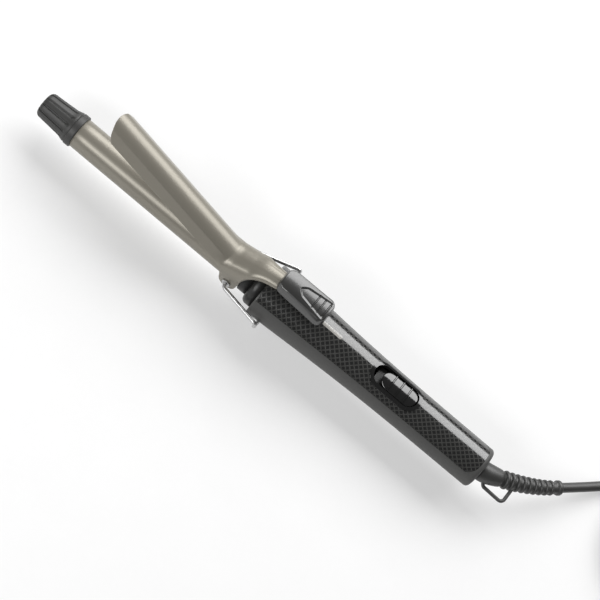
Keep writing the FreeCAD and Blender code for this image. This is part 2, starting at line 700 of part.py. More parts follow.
def panel_zone(margin):
    """The space of the upper shell: a wedge over the top with rounded rear corners in plan."""
    half = math.radians(PANEL_HALF_DEG)
    front = HANDLE_START - OVERLAP
    apex = Vector(front, 0, -margin / math.sin(half))
    left = apex + Vector(0, -PANEL_REACH * math.sin(half), PANEL_REACH * math.cos(half))
    right = apex + Vector(0, PANEL_REACH * math.sin(half), PANEL_REACH * math.cos(half))
    wedge = polygon([apex, left, right]).extrude(Vector(PANEL_END + margin - front, 0, 0))
    corner_x = PANEL_END - PANEL_CORNER
    corner_y = PANEL_REAR_HALF_WIDTH - PANEL_CORNER
    radius = PANEL_CORNER + margin
    height = (-OVERLAP, FAR)
    plan = block((front - OVERLAP, corner_x), (-FAR, FAR), height)
    plan = plan.fuse([post(corner_x, corner_y, *height, radius),
                      post(corner_x, -corner_y, *height, radius),
                      block((corner_x - OVERLAP, PANEL_END + margin), (-corner_y, corner_y), height)])
    return wedge.common(plan)


def handle_wall():
    """The handle's wall with its front opening and the cord's hole."""
    wall = handle_form(0.0, HANDLE_START, HANDLE_END).cut(handle_hollow())
    mouth = rod(HANDLE_START - OVERLAP, HANDLE_START + HANDLE_WALL + OVERLAP, HANDLE_MOUTH)
    cord_hole = rod(HANDLE_END - HANDLE_WALL - OVERLAP, HANDLE_END + OVERLAP, HANDLE_CORD_HOLE)
    return wall.cut([mouth, cord_hole])


def handle_upper_shell():
    """Glossy upper shell with openings for the switch bezel and the lens."""
    shell = handle_wall().common(panel_zone(0.0))
    switch_hole = stadium(SWITCH_START + SWITCH_LIP, SWITCH_END - SWITCH_LIP,
                          SWITCH_HALF_WIDTH - SWITCH_LIP, 0, FAR)
    lens_hole = stadium(LENS_START - FIT, LENS_END + FIT, LENS_RADIUS + FIT, 0, FAR)
    return shell.cut([switch_hole, lens_hole])


def handle_lower_shell():
    """Plain lower shell with its screw bosses."""
    shell = handle_wall().cut(panel_zone(SHELL_SEAM))
    boss_low = HANDLE_SCREW_LOW - HANDLE_SCREW_CAP
    bosses = [post(x, 0, boss_low, HANDLE_BOSS_TOP, HANDLE_BOSS_RADIUS) for x in HANDLE_SCREWS]
    shell = shell.fuse(bosses)
    shanks = [post(x, 0, -FAR, FAR, HANDLE_SCREW_RADIUS + SCREW_CLEARANCE) for x in HANDLE_SCREWS]
    heads = [post(x, 0, -FAR, HANDLE_SCREW_SEAT, HANDLE_SCREW_HEAD + 2 * SCREW_CLEARANCE)
             for x in HANDLE_SCREWS]
    return shell.cut(shanks + heads)


def handle_screws():
    """Two screws that close the handle from below."""
    screws = []
    for x in HANDLE_SCREWS:
        head = post(x, 0, HANDLE_SCREW_LOW, HANDLE_SCREW_SEAT - FIT, HANDLE_SCREW_HEAD)
        slot = block((x - HANDLE_SCREW_HEAD - OVERLAP, x + HANDLE_SCREW_HEAD + OVERLAP),
                     (-SCREW_SLOT_HALF, SCREW_SLOT_HALF), (-FAR, HANDLE_SCREW_LOW + SCREW_SLOT_DEPTH))
        shank = post(x, 0, HANDLE_SCREW_SEAT - OVERLAP / 2.0, HANDLE_SCREW_TOP, HANDLE_SCREW_RADIUS)
        screws.append(head.fuse(shank).removeSplitter().cut(slot))
    return Part.makeCompound(screws)


def indicator_lens():
    """Pill-shaped lens on the handle's crown, with a light pipe below."""
    pill = stadium(LENS_START, LENS_END, LENS_RADIUS, 0, FAR)
    return pill.common(handle_form(-LENS_RISE, HANDLE_START, HANDLE_END).cut(handle_hollow()))


def indicator_lamp():
    """Small neon lamp below the lens."""
    bulb = rod(*LAMP_X, LAMP_RADIUS)
    bulb = rounded(bulb, LAMP_ROUND, lambda edge: edge.BoundBox.XMin > LAMP_X[1] - FIT)
    bulb.translate(Vector(0, 0, LAMP_Z))
    return bulb


# ---- switch -------------------------------------------------------------------------------------
def switch_bezel():
    """Gloss oval rim that follows the handle's crown, standing a little proud."""
    rim_form = handle_form(-SWITCH_RISE, HANDLE_START, HANDLE_END)
    rim_form = rim_form.cut(handle_form(0.0, HANDLE_START, HANDLE_END))
    rim = stadium(SWITCH_START, SWITCH_END, SWITCH_HALF_WIDTH, 0, FAR).common(rim_form)
    wall_form = handle_form(-SWITCH_WALL_RISE, HANDLE_START, HANDLE_END).cut(handle_hollow())
    inside = SWITCH_LIP + FIT
    wall = stadium(SWITCH_START + inside, SWITCH_END - inside, SWITCH_HALF_WIDTH - inside, 0, FAR)
    ring = rim.fuse(wall.common(wall_form))
    opening = stadium(SWITCH_START + SWITCH_RIM, SWITCH_END - SWITCH_RIM,
                      SWITCH_HALF_WIDTH - SWITCH_RIM, 0, FAR)
    return ring.cut(opening)


def switch_slider():
    """Sliding button with three grip bars and a stem into the switch."""
    end = SWITCH_END - SWITCH_RIM - SLIDER_GAP
    start = end - SLIDER_LENGTH
    half = SWITCH_HALF_WIDTH - SWITCH_RIM - SLIDER_GAP
    cap_form = handle_form(SLIDER_SINK, HANDLE_START, HANDLE_END)
    cap_form = cap_form.cut(handle_form(SLIDER_DEPTH, HANDLE_START, HANDLE_END))
    cap = stadium(start, end, half, 0, FAR).common(cap_form)
    bar_form = handle_form(-SWITCH_RISE, HANDLE_START, HANDLE_END)
    bar_form = bar_form.cut(handle_form(GRIP_ROOT, HANDLE_START, HANDLE_END))
    middle = (start + end) / 2.0
    bar_half = half - GRIP_INSET
    ridges = []
    for step in (-1, 0, 1):
        x = middle + step * GRIP_PITCH
        bar = block((x - GRIP_HALF_WIDTH, x + GRIP_HALF_WIDTH), (-bar_half, bar_half), (0, FAR))
        ridges.append(bar.common(bar_form))
    stem = block((middle - STEM_HALF_LENGTH, middle + STEM_HALF_LENGTH),
                 (-STEM_HALF_WIDTH, STEM_HALF_WIDTH), (STEM_LOW_Z, STEM_TOP_Z))
    return cap.fuse(ridges + [stem]).removeSplitter()


def switch_body():
    """Slide switch housing with a slot for the button's stem."""
    body = block(HOUSING_X, (-HOUSING_HALF_WIDTH, HOUSING_HALF_WIDTH), HOUSING_Z)
    slot = block(HOUSING_SLOT_X, (-HOUSING_SLOT_HALF_WIDTH, HOUSING_SLOT_HALF_WIDTH),
                 (HOUSING_SLOT_LOW_Z, HOUSING_Z[1] + OVERLAP))
    return body.cut(slot)


def switch_terminals():
    """Three blade terminals under the switch."""
    thickness = (-TERMINAL_HALF_THICKNESS, TERMINAL_HALF_THICKNESS)
    height = (TERMINAL_LOW_Z, HOUSING_Z[0] - FIT)
    return Part.makeCompound([block((x, x + TERMINAL_LENGTH), thickness, height) for x in TERMINALS_X])


def inner_leads():
    """Live and neutral leads from the cord to the switch."""
    return side_pair(rod(*INNER_LEAD_X, INNER_LEAD_RADIUS), INNER_LEAD_Y)


def cord_clamp():
    """Bar that grips the inner leads against pull."""
    bar = block(GRIP_BAR_X, (-GRIP_BAR_HALF_WIDTH, GRIP_BAR_HALF_WIDTH), GRIP_BAR_Z)
    middle = sum(GRIP_BAR_X) / 2.0
    hole = post(middle, 0, 0, FAR, GRIP_SCREW_RADIUS + SCREW_CLEARANCE)
    return bar.cut(side_pair(hole, GRIP_SCREW_Y))


def cord_clamp_screws():
    """Two screws that pull the cord clamp down on its bosses."""
    middle = sum(GRIP_BAR_X) / 2.0
    head = post(middle, 0, GRIP_BAR_Z[1] + FIT, GRIP_SCREW_TOP, GRIP_SCREW_HEAD)
    shank = post(middle, 0, GRIP_SCREW_LOW, GRIP_BAR_Z[1] + GAP, GRIP_SCREW_RADIUS)
    return side_pair(head.fuse(shank), GRIP_SCREW_Y)


# ---- cord end -----------------------------------------------------------------------------------
def droop(vector):
    """Turn a vector from the level plane into the boot's drooping plane."""
    return Rotation(X_AXIS, -BOOT_DROOP_DEG).multVec(vector)


def boot_line(distance):
    """Point and heading on the boot's centreline: a tight root bend, then a long gentle one."""
    root_radius = BOOT_ROOT_BEND[0]
    long_radius = BOOT_LONG_BEND[0]
    first = min(distance, BOOT_ROOT_LENGTH) / root_radius
    point = Vector(math.sin(first), 1 - math.cos(first), 0) * root_radius
    angle = first
    if distance > BOOT_ROOT_LENGTH:
        angle = first + (distance - BOOT_ROOT_LENGTH) / long_radius
        point += Vector(math.sin(angle) - math.sin(first), math.cos(first) - math.cos(angle),
                        0) * long_radius
    heading = Vector(math.cos(angle), math.sin(angle), 0)
    return Vector(HANDLE_END, 0, 0) + droop(point), droop(heading)


def boot_pipe(start, end, radius):
    """Piece of the boot's core between two distances along its centreline."""
    middle = (start + end) / 2.0
    arc = Part.Arc(boot_line(start)[0], boot_line(middle)[0], boot_line(end)[0]).toShape()
    return swept(Part.Wire([arc]), radius)


def boot_disc(distance, thickness, radius):
    """Rib across the boot's centreline."""
    point, heading = boot_line(distance)
    return Part.makeCylinder(radius, thickness, point, heading)


def strain_relief():
    """Moulded boot: a round root, a smooth sleeve and ribs that shrink towards the cord."""
    inner_face = HANDLE_END - HANDLE_WALL
    anchor = rod(inner_face - BOOT_ANCHOR_LENGTH, inner_face - FIT, BOOT_ANCHOR_RADIUS)
    neck = rod(inner_face - OVERLAP / 2.0, HANDLE_END + OVERLAP / 2.0, HANDLE_CORD_HOLE - FIT)
    root = Part.makeSphere(BOOT_RADIUS, Vector(HANDLE_END + BOOT_ROOT_X, 0, 0))
    root = root.cut(rod(HANDLE_END - FAR, HANDLE_END + FIT, FAR))
    sleeve = boot_pipe(BOOT_ROOT_LENGTH, BOOT_SLEEVE, BOOT_RADIUS - BOOT_SLEEVE_STEP)
    core = boot_pipe(BOOT_ROOT_LENGTH, BOOT_LENGTH, CORD_RADIUS + BOOT_WALL)
    pieces = [neck, root, sleeve, core]
    first_radius, last_radius = BOOT_RIB_RADII
    for number in range(BOOT_RIBS):
        share = number / (BOOT_RIBS - 1)
        radius = first_radius + (last_radius - first_radius) * share
        start = BOOT_SLEEVE + BOOT_RIB_GAP + number * BOOT_RIB_PITCH
        pieces.append(boot_disc(start, BOOT_RIB_WIDTH, radius))
    return anchor.fuse(pieces)


def hang_loop():
    """Wire loop beside the boot, for hanging the iron on a hook."""
    points = [Vector(HANDLE_END + x, y, z) for x, y, z in LOOP_ROUTE]
    return swept(rounded_path(points, LOOP_BENDS), LOOP_WIRE_RADIUS)


# ---- cord, coil and plug ------------------------------------------------------------------------
def coil_entry():
    """Where the cord joins the coil's outer turn, heading 45 degrees between X and Y."""
    lean = COIL_OUTER_TURN * DIAGONAL
    return Vector(COIL_CENTRE[0] - lean, COIL_CENTRE[1] + lean, LOW_TURN_Z)


def cord_points():
    """Route from the boot's tip to the coil, chosen by hand."""
    tip, _ = boot_line(BOOT_LENGTH)
    return [tip] + [Vector(*point) for point in CORD_ROUTE] + [coil_entry()]


def tail_points():
    """Route from the coil's upper turn to the plug, chosen by hand."""
    exit_angle = math.radians(COIL_EXIT_DEG)
    leave = Vector(COIL_CENTRE[0] + COIL_OUTER_TURN * math.cos(exit_angle),
                   COIL_CENTRE[1] + COIL_OUTER_TURN * math.sin(exit_angle), HIGH_TURN_Z)
    plug_end = Vector(PLUG_X, PLUG_Y + PLUG_SLEEVE, PLUG_Z)
    return [leave] + [Vector(*point) for point in TAIL_ROUTE] + [plug_end]


def cord_tube(name, points):
    """Tube along a route; prints its bends and how its volume compares with section times length."""
    radii = bend_radii(points)
    path = rounded_path(points, radii)
    shape = swept(path, CORD_RADIUS)
    ratio = shape.Volume / (math.pi * CORD_RADIUS ** 2 * path.Length)
    print(name, "length", round(path.Length, 1), "bend radii", [round(r) for r in radii],
          "volume ratio", round(ratio, 4))
    return shape


def cord_coil():
    """Outer shape of the put-away coil."""
    centre = Vector(*COIL_CENTRE, COIL_LOW)
    ring = Part.makeCylinder(COIL_OUT, COIL_HEIGHT, centre)
    ring = ring.cut(Part.makeCylinder(COIL_IN, COIL_HEIGHT, centre))
    return rounded(ring, COIL_ROUND, lambda edge: isinstance(edge.Curve, Part.Circle))


def coil_tie():
    """Strap round one side of the coil."""
    x = (COIL_CENTRE[0] - TIE_WIDTH / 2.0, COIL_CENTRE[0] + TIE_WIDTH / 2.0)
    low_y = COIL_CENTRE[1] - COIL_OUT - TIE_OUTER_ROOM
    high_y = COIL_CENTRE[1] - COIL_IN + TIE_INNER_ROOM
    top = COIL_LOW + COIL_HEIGHT + FIT
    room = block((x[0] - OVERLAP, x[1] + OVERLAP), (low_y, high_y), (COIL_LOW - FIT, top))
    band = block(x, (low_y - TIE_THICKNESS, high_y + TIE_THICKNESS), (FLOOR_Z, top + TIE_THICKNESS))
    return band.cut(room)


def plug_section(setback, half_width, half_height):
    """Rounded oblong across the plug's axis."""
    y = PLUG_Y - setback
    half_x = half_width - PLUG_CORNER
    half_z = half_height - PLUG_CORNER
    lean = PLUG_CORNER * DIAGONAL
    edges = []
    for index, (sx, sz) in enumerate(((1, 1), (-1, 1), (-1, -1), (1, -1))):
        x = PLUG_X + sx * half_x
        z = PLUG_Z + sz * half_z
        side_on = Vector(x + sx * PLUG_CORNER, y, z)
        top_on = Vector(x, y, z + sz * PLUG_CORNER)
        middle = Vector(x + sx * lean, y, z + sz * lean)
        first, last = (side_on, top_on) if index % 2 == 0 else (top_on, side_on)
        if edges:
            edges.append(Part.LineSegment(edges[-1].lastVertex().Point, first).toShape())
        edges.append(Part.Arc(first, middle, last).toShape())
    edges.append(Part.LineSegment(edges[-1].lastVertex().Point, edges[0].firstVertex().Point).toShape())
    return Part.Wire(edges)


def plug_body():
    """Flat two-pin plug body, waisted behind its face, with a short cord sleeve."""
    body = Part.makeLoft([plug_section(*section) for section in PLUG_SECTIONS], True, False)
    narrow, wide = PLUG_SLEEVE_RADII
    sleeve = Part.makeCone(narrow, wide, PLUG_SLEEVE + PLUG_SLEEVE_OVERLAP,
                           Vector(PLUG_X, PLUG_Y + PLUG_SLEEVE, PLUG_Z), -Y_AXIS)
    return body.fuse(sleeve)


def plug_pins():
    """Two sleeved round pins."""
    face_y = PLUG_Y - PLUG_LENGTH - FIT
    tip_y = face_y - PIN_LENGTH + OVERLAP
    base = Vector(PLUG_X, face_y, PLUG_Z)
    pin = Part.makeCylinder(PIN_RADIUS, PIN_LENGTH, base, -Y_AXIS)
    pin = rounded(pin, PIN_ROUND, lambda edge: edge.BoundBox.YMax < tip_y)
    left = pin.copy()
    left.translate(X_AXIS * (-PIN_SPACING / 2.0))
    right = pin.copy()
    right.translate(X_AXIS * (PIN_SPACING / 2.0))
    return Part.makeCompound([left, right])


# ---- everything, in order -----------------------------------------------------------------------
def main():
    """Write every sub-part."""
    os.makedirs("parts", exist_ok=True)
    save("barrel_tube", tube(BARREL_START, BARREL_END, BARREL_RADIUS, BARREL_BORE))
    save("cool_tip", cool_tip())
    save("tip_insulator", rod(INSULATOR_START, INSULATOR_END, BARREL_BORE - FIT))
    save("ceramic_heater", ceramic_heater())
    save("heat_spreader_upper", heat_spreader(1))
    save("heat_spreader_lower", heat_spreader(-1))
    save("heater_leads", heater_leads())
    save("thermal_fuse", thermal_fuse())
    save("clamp_shell", clamp_shell())
    save("thumb_rest", thumb_rest())
    save("thumb_rest_screws", thumb_rest_screws())
    save("clamp_spring", clamp_spring())
    save("pivot_bracket", pivot_bracket())
    save("pivot_rivets", pivot_rivets())
    save("stand_wire", stand_wire())
    save("barrel_collar", barrel_collar())
    save("handle_collar", handle_collar())
    save("handle_upper_shell", handle_upper_shell())
    save("handle_lower_shell", handle_lower_shell())
    save("handle_screws", handle_screws())
    save("indicator_lens", indicator_lens())
    save("indicator_lamp", indicator_lamp())
    save("switch_bezel", switch_bezel())
    save("switch_slider", switch_slider())
    save("switch_body", switch_body())
    save("switch_terminals", switch_terminals())
    save("inner_leads", inner_leads())
    save("cord_clamp", cord_clamp())
    save("cord_clamp_screws", cord_clamp_screws())
    save("strain_relief", strain_relief())
    save("hang_loop", hang_loop())
    save("mains_cord", cord_tube("mains_cord", cord_points()))
    save("cord_coil", cord_coil())
    save("coil_tie", coil_tie())
    save("cord_tail", cord_tube("cord_tail", tail_points()))
    save("plug_body", plug_body())
    save("plug_pins", plug_pins())


main()
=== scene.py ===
import json
import logging
import math
from dataclasses import dataclass
from enum import Enum
from typing import Callable, Sequence

import bmesh
import bpy
from mathutils import Matrix, Vector


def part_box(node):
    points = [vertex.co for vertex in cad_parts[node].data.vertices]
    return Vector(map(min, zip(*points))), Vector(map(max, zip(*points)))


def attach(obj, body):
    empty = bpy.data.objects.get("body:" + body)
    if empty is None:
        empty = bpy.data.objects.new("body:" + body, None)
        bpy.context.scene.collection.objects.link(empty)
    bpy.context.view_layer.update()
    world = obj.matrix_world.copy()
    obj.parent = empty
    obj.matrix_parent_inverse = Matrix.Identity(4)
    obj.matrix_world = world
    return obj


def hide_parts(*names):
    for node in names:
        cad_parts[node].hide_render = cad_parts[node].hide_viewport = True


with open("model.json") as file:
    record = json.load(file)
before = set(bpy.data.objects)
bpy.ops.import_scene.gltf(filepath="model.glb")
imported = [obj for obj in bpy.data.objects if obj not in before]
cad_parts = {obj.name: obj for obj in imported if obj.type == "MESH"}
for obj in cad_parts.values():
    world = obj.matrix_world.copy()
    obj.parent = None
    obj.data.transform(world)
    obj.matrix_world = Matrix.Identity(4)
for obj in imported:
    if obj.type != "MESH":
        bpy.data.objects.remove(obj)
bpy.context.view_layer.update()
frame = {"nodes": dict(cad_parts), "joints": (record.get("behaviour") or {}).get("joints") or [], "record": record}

# A curling iron's looks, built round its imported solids. X runs along the iron towards the cord, Y is
# the clamp's hinge line, Z is up and the surface is at zero. Places in the frame are in metres. A
# class whose sizes are in millimetres says so.

LOG = logging.getLogger("curling_iron")
MM = 0.001
ALONG = Vector((1.0, 0.0, 0.0))
UP = Vector((0.0, 0.0, 1.0))

Point = tuple[float, float, float]
Ring = list[Vector]


class Body(Enum):
    """The rigid bodies that pieces ride on."""

    IRON = "iron"
    CLAMP = "clamp"
    STAND = "stand"
    BUTTON = "switch_button"


# ---- places read from the frame -----------------------------------------------------------------
def middle(node: str) -> Vector:
    """Give the centre of a node's box.

    Args:
        node: the node's name.

    Returns:
        The centre in metres.
    """
    low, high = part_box(node)
    return (Vector(low) + Vector(high)) / 2.0


def pivot() -> Vector:
    """Read the clamp's hinge point from the frame's joints."""
    joint = next(item for item in frame["joints"] if item["name"] == "clamp_pivot")
    return Vector(joint["pos_m"])


AXIS_Z = middle("barrel_tube").z
TIP_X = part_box("cool_tip")[0][0]
HANDLE_FRONT_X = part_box("handle_lower_shell")[0][0]
HANDLE_REAR_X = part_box("handle_lower_shell")[1][0]


# ---- shaping helpers ----------------------------------------------------------------------------
def smooth(low: float, high: float, value: float) -> float:
    """Rise smoothly from 0 at low to 1 at high."""
    share = min(1.0, max(0.0, (value - low) / (high - low)))
    return share * share * (3.0 - 2.0 * share)


def circle(centre: Vector, first: Vector, second: Vector, radius: float, count: int) -> Ring:
    """Make a ring in the plane of two directions.

    Args:
        centre: the ring's middle.
        first: unit direction of its first point.
        second: unit direction a quarter turn on.
        radius: its radius.
        count: points round it.

    Returns:
        The ring's points.
    """
    ring = []
    for step in range(count):
        angle = math.tau * step / count
        ring.append(centre + (first * math.cos(angle) + second * math.sin(angle)) * radius)
    return ring


# ---- material nodes ------------------------------------------------------------------------------
class Graph:
    """A short way to write a material's node tree."""

    def __init__(self, name: str) -> None:
        """Make an empty material with an output and a principled shader.

        Args:
            name: the material's name.
        """
        self.material = bpy.data.materials.new(name)
        self.material.use_nodes = True
        self.tree = self.material.node_tree
        self.shader = self.tree.nodes["Principled BSDF"]
        self.coords = self.node("ShaderNodeTexCoord")

    def node(self, kind: str, **settings: object) -> bpy.types.Node:
        """Add a node and set its properties.

        Args:
            kind: the node's type name.
            settings: properties of the node.

        Returns:
            The new node.
        """
        made = self.tree.nodes.new(kind)
        for key, value in settings.items():
            setattr(made, key, value)
        return made

    def link(self, start: bpy.types.NodeSocket, end: bpy.types.NodeSocket) -> None:
        """Join an output socket to an input socket."""
        self.tree.links.new(start, end)

    def math(self, operation: str, *values: object) -> bpy.types.NodeSocket:
        """Add a math node fed by sockets or numbers.

        Args:
            operation: the math operation.
            values: sockets or plain numbers, in order.

        Returns:
            The result's socket.
        """
        made = self.node("ShaderNodeMath", operation=operation)
        for index, value in enumerate(values):
            if isinstance(value, (int, float)):
                made.inputs[index].default_value = value
            else:
                self.link(value, made.inputs[index])
        return made.outputs[0]

    def noise(self, scale: float, detail: float,
              stretch: Point = (1.0, 1.0, 1.0)) -> bpy.types.NodeSocket:
        """Add noise on Object coordinates.

        Args:
            scale: noise scale per metre.
            detail: octaves.
            stretch: extra scale along each axis.

        Returns:
            The noise value's socket.
        """
        mapping = self.node("ShaderNodeMapping")
        mapping.inputs["Scale"].default_value = stretch
        self.link(self.coords.outputs["Object"], mapping.inputs["Vector"])
        noise = self.node("ShaderNodeTexNoise")
        noise.inputs["Scale"].default_value = scale
        noise.inputs["Detail"].default_value = detail
        self.link(mapping.outputs["Vector"], noise.inputs["Vector"])
        return noise.outputs["Fac"]

    def span(self, value: bpy.types.NodeSocket, low: float, high: float) -> bpy.types.NodeSocket:
        """Map a 0 to 1 value onto a range.

        Args:
            value: the input socket.
            low: the result at 0.
            high: the result at 1.

        Returns:
            The result's socket.
        """
        made = self.node("ShaderNodeMapRange")
        made.inputs["To Min"].default_value = low
        made.inputs["To Max"].default_value = high
        self.link(value, made.inputs["Value"])
        return made.outputs["Result"]

    def blend(self, factor: bpy.types.NodeSocket, first: Sequence[float],
              second: Sequence[float]) -> bpy.types.NodeSocket:
        """Mix two colours by a factor.

        Args:
            factor: the mixing socket.
            first: colour at 0.
            second: colour at 1.

        Returns:
            The colour's socket.
        """
        made = self.node("ShaderNodeMix", data_type="RGBA")
        made.inputs[6].default_value = (*first, 1.0)
        made.inputs[7].default_value = (*second, 1.0)
        self.link(factor, made.inputs[0])
        return made.outputs[2]

    def bump(self, height: bpy.types.NodeSocket, distance: float, strength: float) -> None:
        """Put a bump on the shader's normal.

        Args:
            height: the height socket.
            distance: bump depth in metres.
            strength: bump strength.
        """
        made = self.node("ShaderNodeBump")
        made.inputs["Distance"].default_value = distance
        made.inputs["Strength"].default_value = strength
        self.link(height, made.inputs["Height"])
        self.link(made.outputs["Normal"], self.shader.inputs["Normal"])


# ---- finishes -----------------------------------------------------------------------------------
@dataclass(frozen=True)
class Finish:
    """A surface with slow colour drift, fine grain and varying roughness.

    Attributes:
        name: the finish's name, on the iron the record's material slot.
        dark: the darker colour of the drift.
        light: the lighter colour of the drift.
        rough: lowest and highest roughness.
        metallic: metal share.
        coat: clear coat weight.
        grain: fine noise scale per metre.
        depth: bump depth in metres.
        stretch: noise scale along each axis.
        specular: strength of the plain reflection.
        drift: slow noise scale per metre.
        drift_share: how much of the colour the slow noise decides, the grain deciding the rest.
        coat_rough: roughness of the clear coat.
    """

    name: str
    dark: Point
    light: Point
    rough: tuple[float, float] = (0.4, 0.5)
    metallic: float = 0.0
    coat: float = 0.0
    grain: float = 3000.0
    depth: float = 0.00002
    stretch: Point = (1.0, 1.0, 1.0)
    specular: float = 0.5
    drift: float = 45.0
    drift_share: float = 0.6
    coat_rough: float = 0.12

    def make(self) -> bpy.types.Material:
        """Build the material, or give the one already built.

        Returns:
            The material.
        """
        title = self.name + "_finish"
        known = bpy.data.materials.get(title)
        if known:
            return known
        graph = Graph(title)
        drift = graph.noise(self.drift, detail=3.0)
        fine = graph.noise(self.grain, detail=2.0, stretch=self.stretch)
        mixed = graph.math("ADD", graph.math("MULTIPLY", drift, self.drift_share),
                           graph.math("MULTIPLY", fine, 1.0 - self.drift_share))
        graph.link(graph.blend(mixed, self.dark, self.light), graph.shader.inputs["Base Color"])
        graph.link(graph.span(fine, *self.rough), graph.shader.inputs["Roughness"])
        graph.shader.inputs["Metallic"].default_value = self.metallic
        graph.shader.inputs["Coat Weight"].default_value = self.coat
        graph.shader.inputs["Coat Roughness"].default_value = self.coat_rough
        graph.shader.inputs["Specular IOR Level"].default_value = self.specular
        graph.bump(fine, self.depth, strength=0.5)
        return graph.material


@dataclass(frozen=True)
class LatticeGloss:
    """Gloss black plastic with a fine diamond lattice that wraps the handle.

    Attributes:
        name: the record's material slot.
        line: the lattice's light lines.
        field_colour: the diamonds between them.
        pitch: distance between lines along the handle.
        radius: the handle's mean radius, which turns angle into distance.
        edge: where a line starts and is full, from mid-gap at 0 to mid-line at 0.5.
        tone: how bright the lines are where their grain is darkest and lightest.
        grain: scale of the lines' grain per metre.
        rough: roughness between the lines and on them.
        specular: strength of the plain reflection.
        depth: the lines' height in metres.
    """

    name: str = "upper_gloss"
    line: Point = (0.056, 0.056, 0.053)
    field_colour: Point = (0.013, 0.013, 0.013)
    pitch: float = 0.0036
    radius: float = 0.0145
    edge: tuple[float, float] = (0.30, 0.44)
    tone: tuple[float, float] = (0.75, 1.0)
    grain: float = 2500.0
    rough: tuple[float, float] = (0.13, 0.20)
    specular: float = 1.0
    depth: float = 0.00002

    def make(self) -> bpy.types.Material:
        """Build the material, or give the one already built.

        Returns:
            The material.
        """
        title = self.name + "_finish"
        known = bpy.data.materials.get(title)
        if known:
            return known
        graph = Graph(title)
        parts = graph.node("ShaderNodeSeparateXYZ")
        graph.link(graph.coords.outputs["Object"], parts.inputs[0])
        height = graph.math("SUBTRACT", parts.outputs["Z"], AXIS_Z)
        angle = graph.math("ARCTAN2", parts.outputs["Y"], height)
        around = graph.math("MULTIPLY", angle, self.radius)
        lines = [self.stripe(graph, graph.math(way, parts.outputs["X"], around))
                 for way in ("ADD", "SUBTRACT")]
        lattice = graph.math("MAXIMUM", *lines)
        fine = graph.noise(self.grain, detail=2.0)
        tone = graph.math("MULTIPLY", lattice, graph.span(fine, *self.tone))
        graph.link(graph.blend(tone, self.field_colour, self.line), graph.shader.inputs["Base Color"])
        graph.link(graph.span(lattice, *self.rough), graph.shader.inputs["Roughness"])
        graph.shader.inputs["Specular IOR Level"].default_value = self.specular
        graph.bump(lattice, self.depth, strength=0.2)
        return graph.material

    def stripe(self, graph: Graph, distance: bpy.types.NodeSocket) -> bpy.types.NodeSocket:
        """Draw narrow lines across a distance.

        Args:
            graph: the material's graph.
            distance: metres across the lines.

        Returns:
            A socket that is 1 on a line and 0 between lines.
        """
        turns = graph.math("FRACT", graph.math("DIVIDE", distance, self.pitch))
        centred = graph.math("ABSOLUTE", graph.math("SUBTRACT", turns, 0.5))
        made = graph.node("ShaderNodeMapRange", interpolation_type="SMOOTHSTEP")
        made.inputs["From Min"].default_value, made.inputs["From Max"].default_value = self.edge
        graph.link(centred, made.inputs["Value"])
        return made.outputs["Result"]


PAPER = Finish("paper", (0.48, 0.48, 0.48), (0.51, 0.51, 0.51), (0.8, 0.9), grain=300.0,
               depth=0.00001, specular=0.1)


